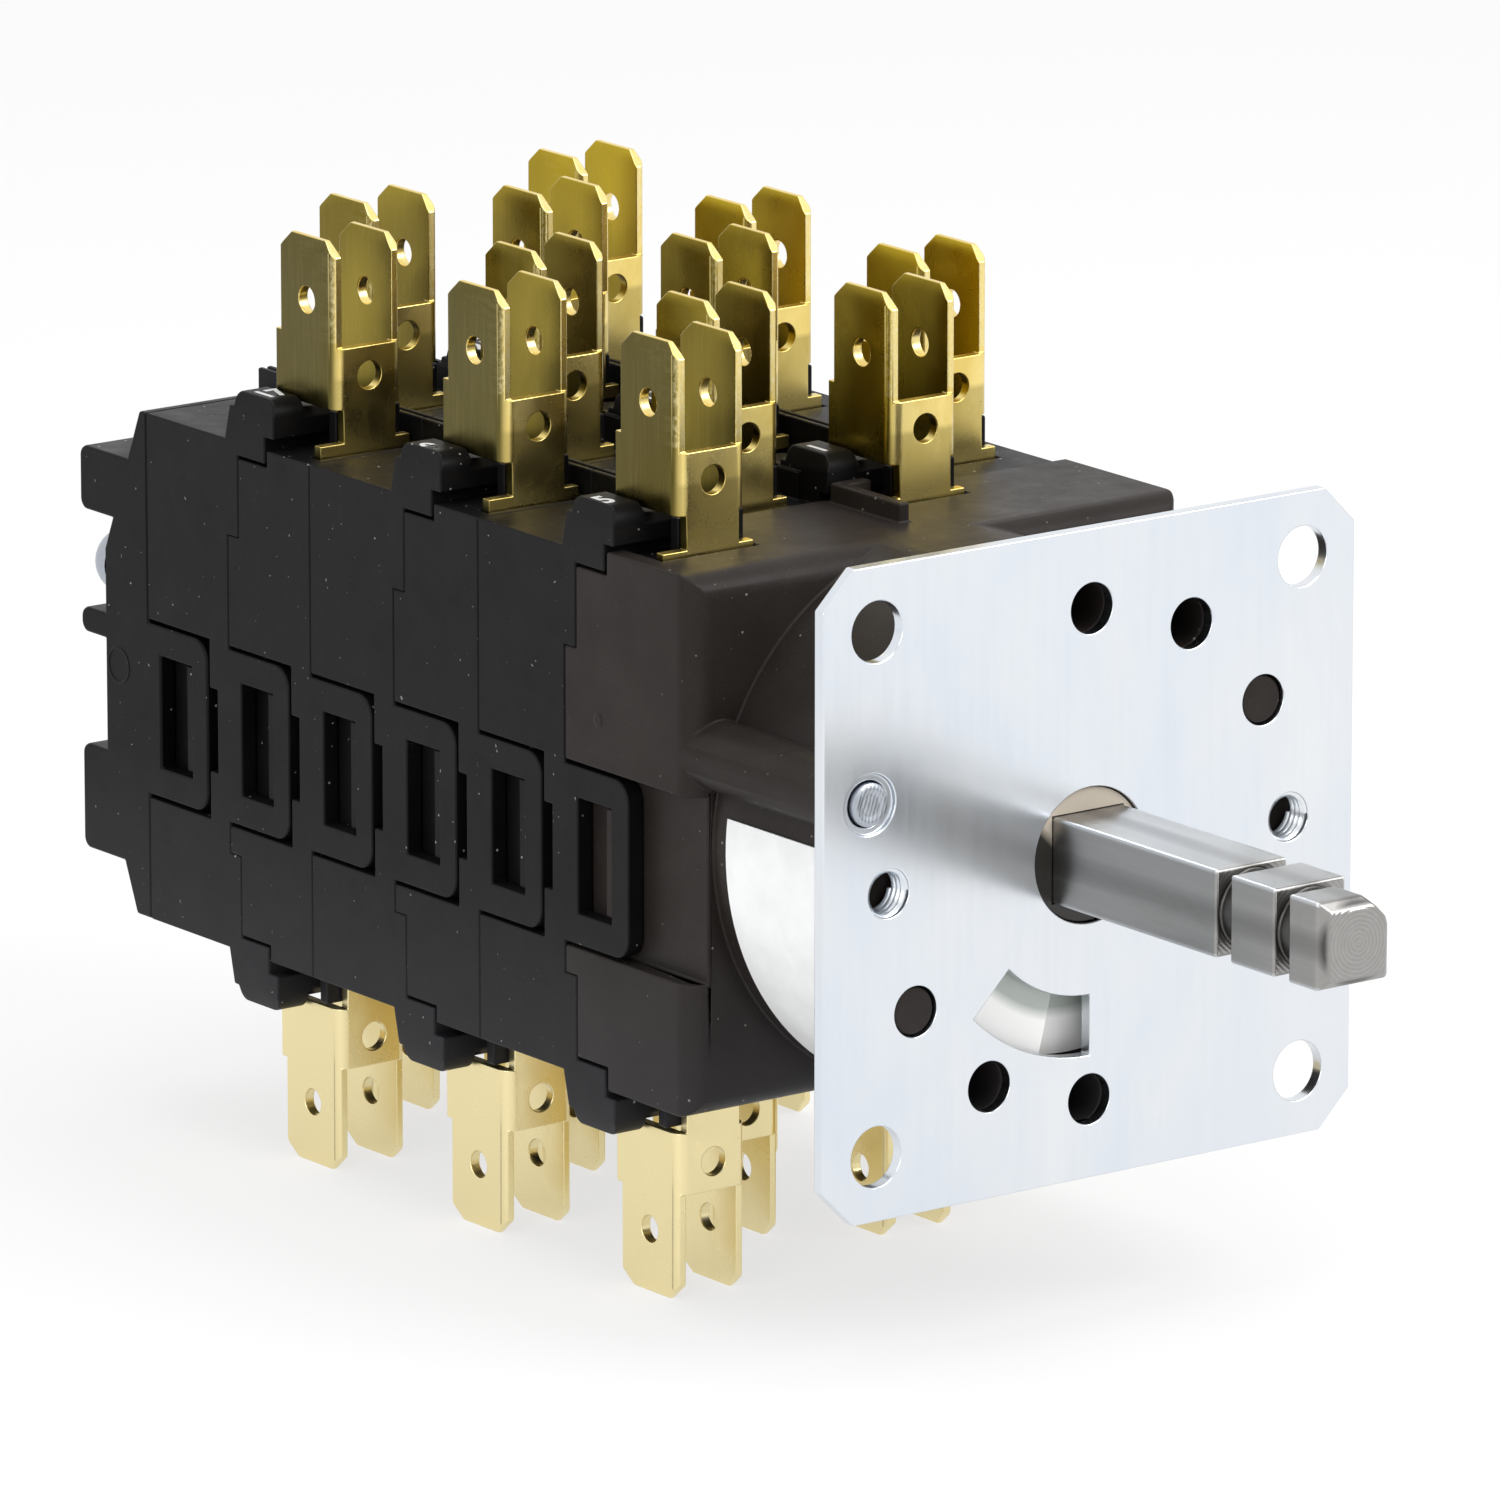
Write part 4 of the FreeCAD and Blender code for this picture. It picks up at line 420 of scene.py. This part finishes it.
CARRIED = {"label_band": FILM, "stop_ring": WHEEL, "index_wheel": WHEEL,
           "tie_rod_left": ROD, "tie_rod_right": ROD,
           "index_spring_upper": SPRING, "index_spring_lower": SPRING}
CARRIED.update({"cam_%d" % stage: NYLON for stage in STAGES})
CARRIED.update({"contact_slide_%s_%d" % (side, stage): NYLON
                for side in SIDES for stage in STAGES})
for node, material in CARRIED.items():
    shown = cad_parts[node]
    shown.data.materials.clear()
    shown.data.materials.append(material)


def own_piece(name, points, faces, material, body="housing"):
    """A small piece of the scene's own, from points in millimetres."""
    mesh = bpy.data.meshes.new(name)
    mesh.from_pydata([tuple(c * MM for c in point) for point in points], [], faces)
    mesh.materials.append(material)
    mesh.shade_smooth()
    piece = bpy.data.objects.new(name, mesh)
    bpy.context.scene.collection.objects.link(piece)
    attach(piece, body)


def turned(name, profile, centre, axis, material):
    """A form turned about a line along axis 0 or 1, from pairs of a radius and a place."""
    steps = 48
    points = []
    for step in range(steps):
        angle = math.tau * step / steps
        for radius, along in profile:
            point = [centre[0], centre[1], centre[2] + radius * math.sin(angle)]
            point[axis] += along
            point[1 - axis] += radius * math.cos(angle)
            points.append(point)
    rows = len(profile)
    faces = []
    for step in range(steps):
        here, following = step * rows, (step + 1) % steps * rows
        for row in range(rows - 1):
            faces.append((here + row, following + row, following + row + 1, here + row + 1))
    own_piece(name, points, faces, material)


def thread(name, across):
    """The turns of the thread in a collar of the plate."""
    pitch, steps, root, crest = 0.5, 36, 1.69, 1.42
    length, first, last = 2.0, 0.14, 2.17
    points = []
    faces = []
    count = int(length / pitch * steps)
    for step in range(count):
        angle = math.tau * step / steps
        middle = 0.1 + pitch * step / steps
        for radius, along in ((root, -0.22), (crest, -0.03), (crest, 0.03), (root, 0.22)):
            depth = min(max(middle + along, first), last)
            points.append((across + radius * math.cos(angle), depth, radius * math.sin(angle)))
    for step in range(count - 1):
        for row in range(3):
            here = 4 * step + row
            faces.append((here, here + 4, here + 5, here + 1))
    own_piece(name, points, faces, ZINC)


def numeral(text, across, depth, level):
    """A printed number on the crown of a marker lug, on top or below."""
    curve = bpy.data.curves.new("numeral_" + text, "FONT")
    curve.body = text
    curve.size = NUMERAL_SIZE * MM
    curve.offset = NUMERAL_WEIGHT * MM
    curve.extrude = NUMERAL_HEIGHT * MM
    holder = bpy.data.objects.new("numeral_" + text, curve)
    bpy.context.scene.collection.objects.link(holder)
    bpy.context.view_layer.update()
    shape = holder.evaluated_get(bpy.context.evaluated_depsgraph_get())
    mesh = bpy.data.meshes.new_from_object(shape)
    bpy.data.objects.remove(holder)
    turn = Matrix.Rotation(0.0 if level > 0 else math.pi, 4, "X")
    back = 0.0 if level > 0 else NUMERAL_TURNED_BACK
    move = Matrix.Translation(Vector((across, depth + back, level)) * MM)
    mesh.transform(move @ turn @ Matrix.Diagonal((NUMERAL_SQUEEZE, 1.0, 1.0, 1.0)))
    mesh.materials.clear()
    mesh.materials.append(INK)
    piece = bpy.data.objects.new("numeral_" + text, mesh)
    bpy.context.scene.collection.objects.link(piece)
    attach(piece, "housing")


def make_small_parts():
    """Threads, rivet ends, moulding marks and the printed numbers."""
    for side, across in COLLARS:
        thread("thread_" + side, across)
    rivet = [(0.0, -0.06), (0.35, -0.1), (0.6, -0.05), (0.85, -0.05),
             (1.05, -0.15), (1.35, -0.13), (1.5, 0.02)]
    for side, across, up in RIVETS:
        turned("rivet_end_" + side, rivet, (across, 0.0, up), 1, ROD)
    mark = [(1.12, 0.02), (1.2, -0.05), (1.32, -0.05), (1.4, 0.02)]
    turned("ejector_mark", mark, (SIDE_FACE, 84.8, -0.6), 0, COVER)
    gate = [(0.0, -0.03), (0.3, -0.05), (0.45, -0.04), (0.55, 0.02)]
    turned("gate_mark", gate, (SIDE_FACE, 27.23, 6.99), 0, HOUSING)
    numbers = [("5", "1"), ("9", "13"), ("17", "21")]
    for row, texts in enumerate(numbers):
        for text, (across, behind) in zip(texts, LUG_PLACES):
            depth = LUG_START + LUG_STEP * row + behind
            numeral(text, across, depth, LUG_CROWN)
            numeral(str(int(text) + 1), across, depth, -LUG_CROWN)


make_small_parts()


def area_light(name, place, size, power):
    """A soft lamp that points at the switch."""
    target = Vector((0.0, 0.03, 0.0))
    lamp = bpy.data.lights.new(name, "AREA")
    lamp.shape = "RECTANGLE"
    lamp.size, lamp.size_y = size
    lamp.energy = power
    holder = bpy.data.objects.new(name, lamp)
    holder.location = place
    holder.rotation_euler = (target - Vector(place)).to_track_quat("-Z", "Y").to_euler()
    bpy.context.scene.collection.objects.link(holder)


def make_lights():
    """Soft boxes above, in front and at the right, and a gentle fill from the left."""
    area_light("key", (0.25, -0.42, 0.42), (0.45, 0.35), 2.8)
    area_light("top", (0.0, 0.1, 0.6), (0.5, 0.5), 1.8)
    area_light("fill", (-0.55, -0.2, 0.2), (0.3, 0.4), 0.9)


def make_world():
    """A pale room: white to the camera, softer where it lights the switch."""
    world = bpy.data.worlds.new("room")
    bpy.context.scene.world = world
    world.use_nodes = True
    tree = world.node_tree
    background = tree.nodes["Background"]
    background.inputs["Color"].default_value = (1.0, 1.0, 1.0, 1.0)
    levels = {"Value": seen_rays(tree), "To Min": ROOM_LIGHT, "To Max": 1.0}
    strength = add_node(tree, "ShaderNodeMapRange", levels).outputs[0]
    tree.links.new(strength, background.inputs["Strength"])


def make_floor():
    """A plain pale floor under the lower blades."""
    size = 3.0
    mesh = bpy.data.meshes.new("floor")
    level = CAD_BOX[0][2]
    corners = [(-size, -size, level), (size, -size, level),
               (size, size, level), (-size, size, level)]
    mesh.from_pydata(corners, [], [(0, 1, 2, 3)])
    floor = bpy.data.objects.new("floor", mesh)
    bpy.context.scene.collection.objects.link(floor)
    pale, shaded = (0.86, 0.86, 0.86), (0.84, 0.84, 0.84)
    surface = Surface("floor_white", pale, 0.9)
    surface.color(surface.mix(surface.noise((0.02, 0.02, 0.02), 2.0), pale, shaded))
    share = surface.math("MULTIPLY", seen_rays(surface.tree), FLOOR_GLOW)
    glow = surface.add("ShaderNodeEmission", {"Color": (1.0, 1.0, 1.0, 1.0), "Strength": 1.0})
    mixed = surface.add("ShaderNodeMixShader", {0: share, 1: surface.shader.outputs[0],
                                                2: glow.outputs[0]})
    output = surface.tree.nodes["Material Output"]
    surface.tree.links.new(mixed.outputs[0], output.inputs["Surface"])
    mesh.materials.append(surface.material)


def make_camera():
    """The camera at the photograph's angle and distance."""
    azimuth = math.radians(-36.73)
    elevation = math.radians(14.22)
    distance = 0.927
    target = Vector((-0.02851, 0.0, 0.01157))
    back = Vector((math.sin(azimuth) * math.cos(elevation),
                   -math.cos(azimuth) * math.cos(elevation), math.sin(elevation)))
    camera = bpy.data.cameras.new("camera")
    camera.lens = 338.9
    camera.sensor_width = 36.0
    camera.clip_start = 0.01
    camera.clip_end = 20.0
    holder = bpy.data.objects.new("camera", camera)
    holder.location = target + distance * back
    holder.rotation_euler = (-back).to_track_quat("-Z", "Y").to_euler()
    bpy.context.scene.collection.objects.link(holder)
    bpy.context.scene.camera = holder


make_camera()
make_lights()
make_world()
make_floor()
bpy.context.scene.view_settings.view_transform = "Standard"
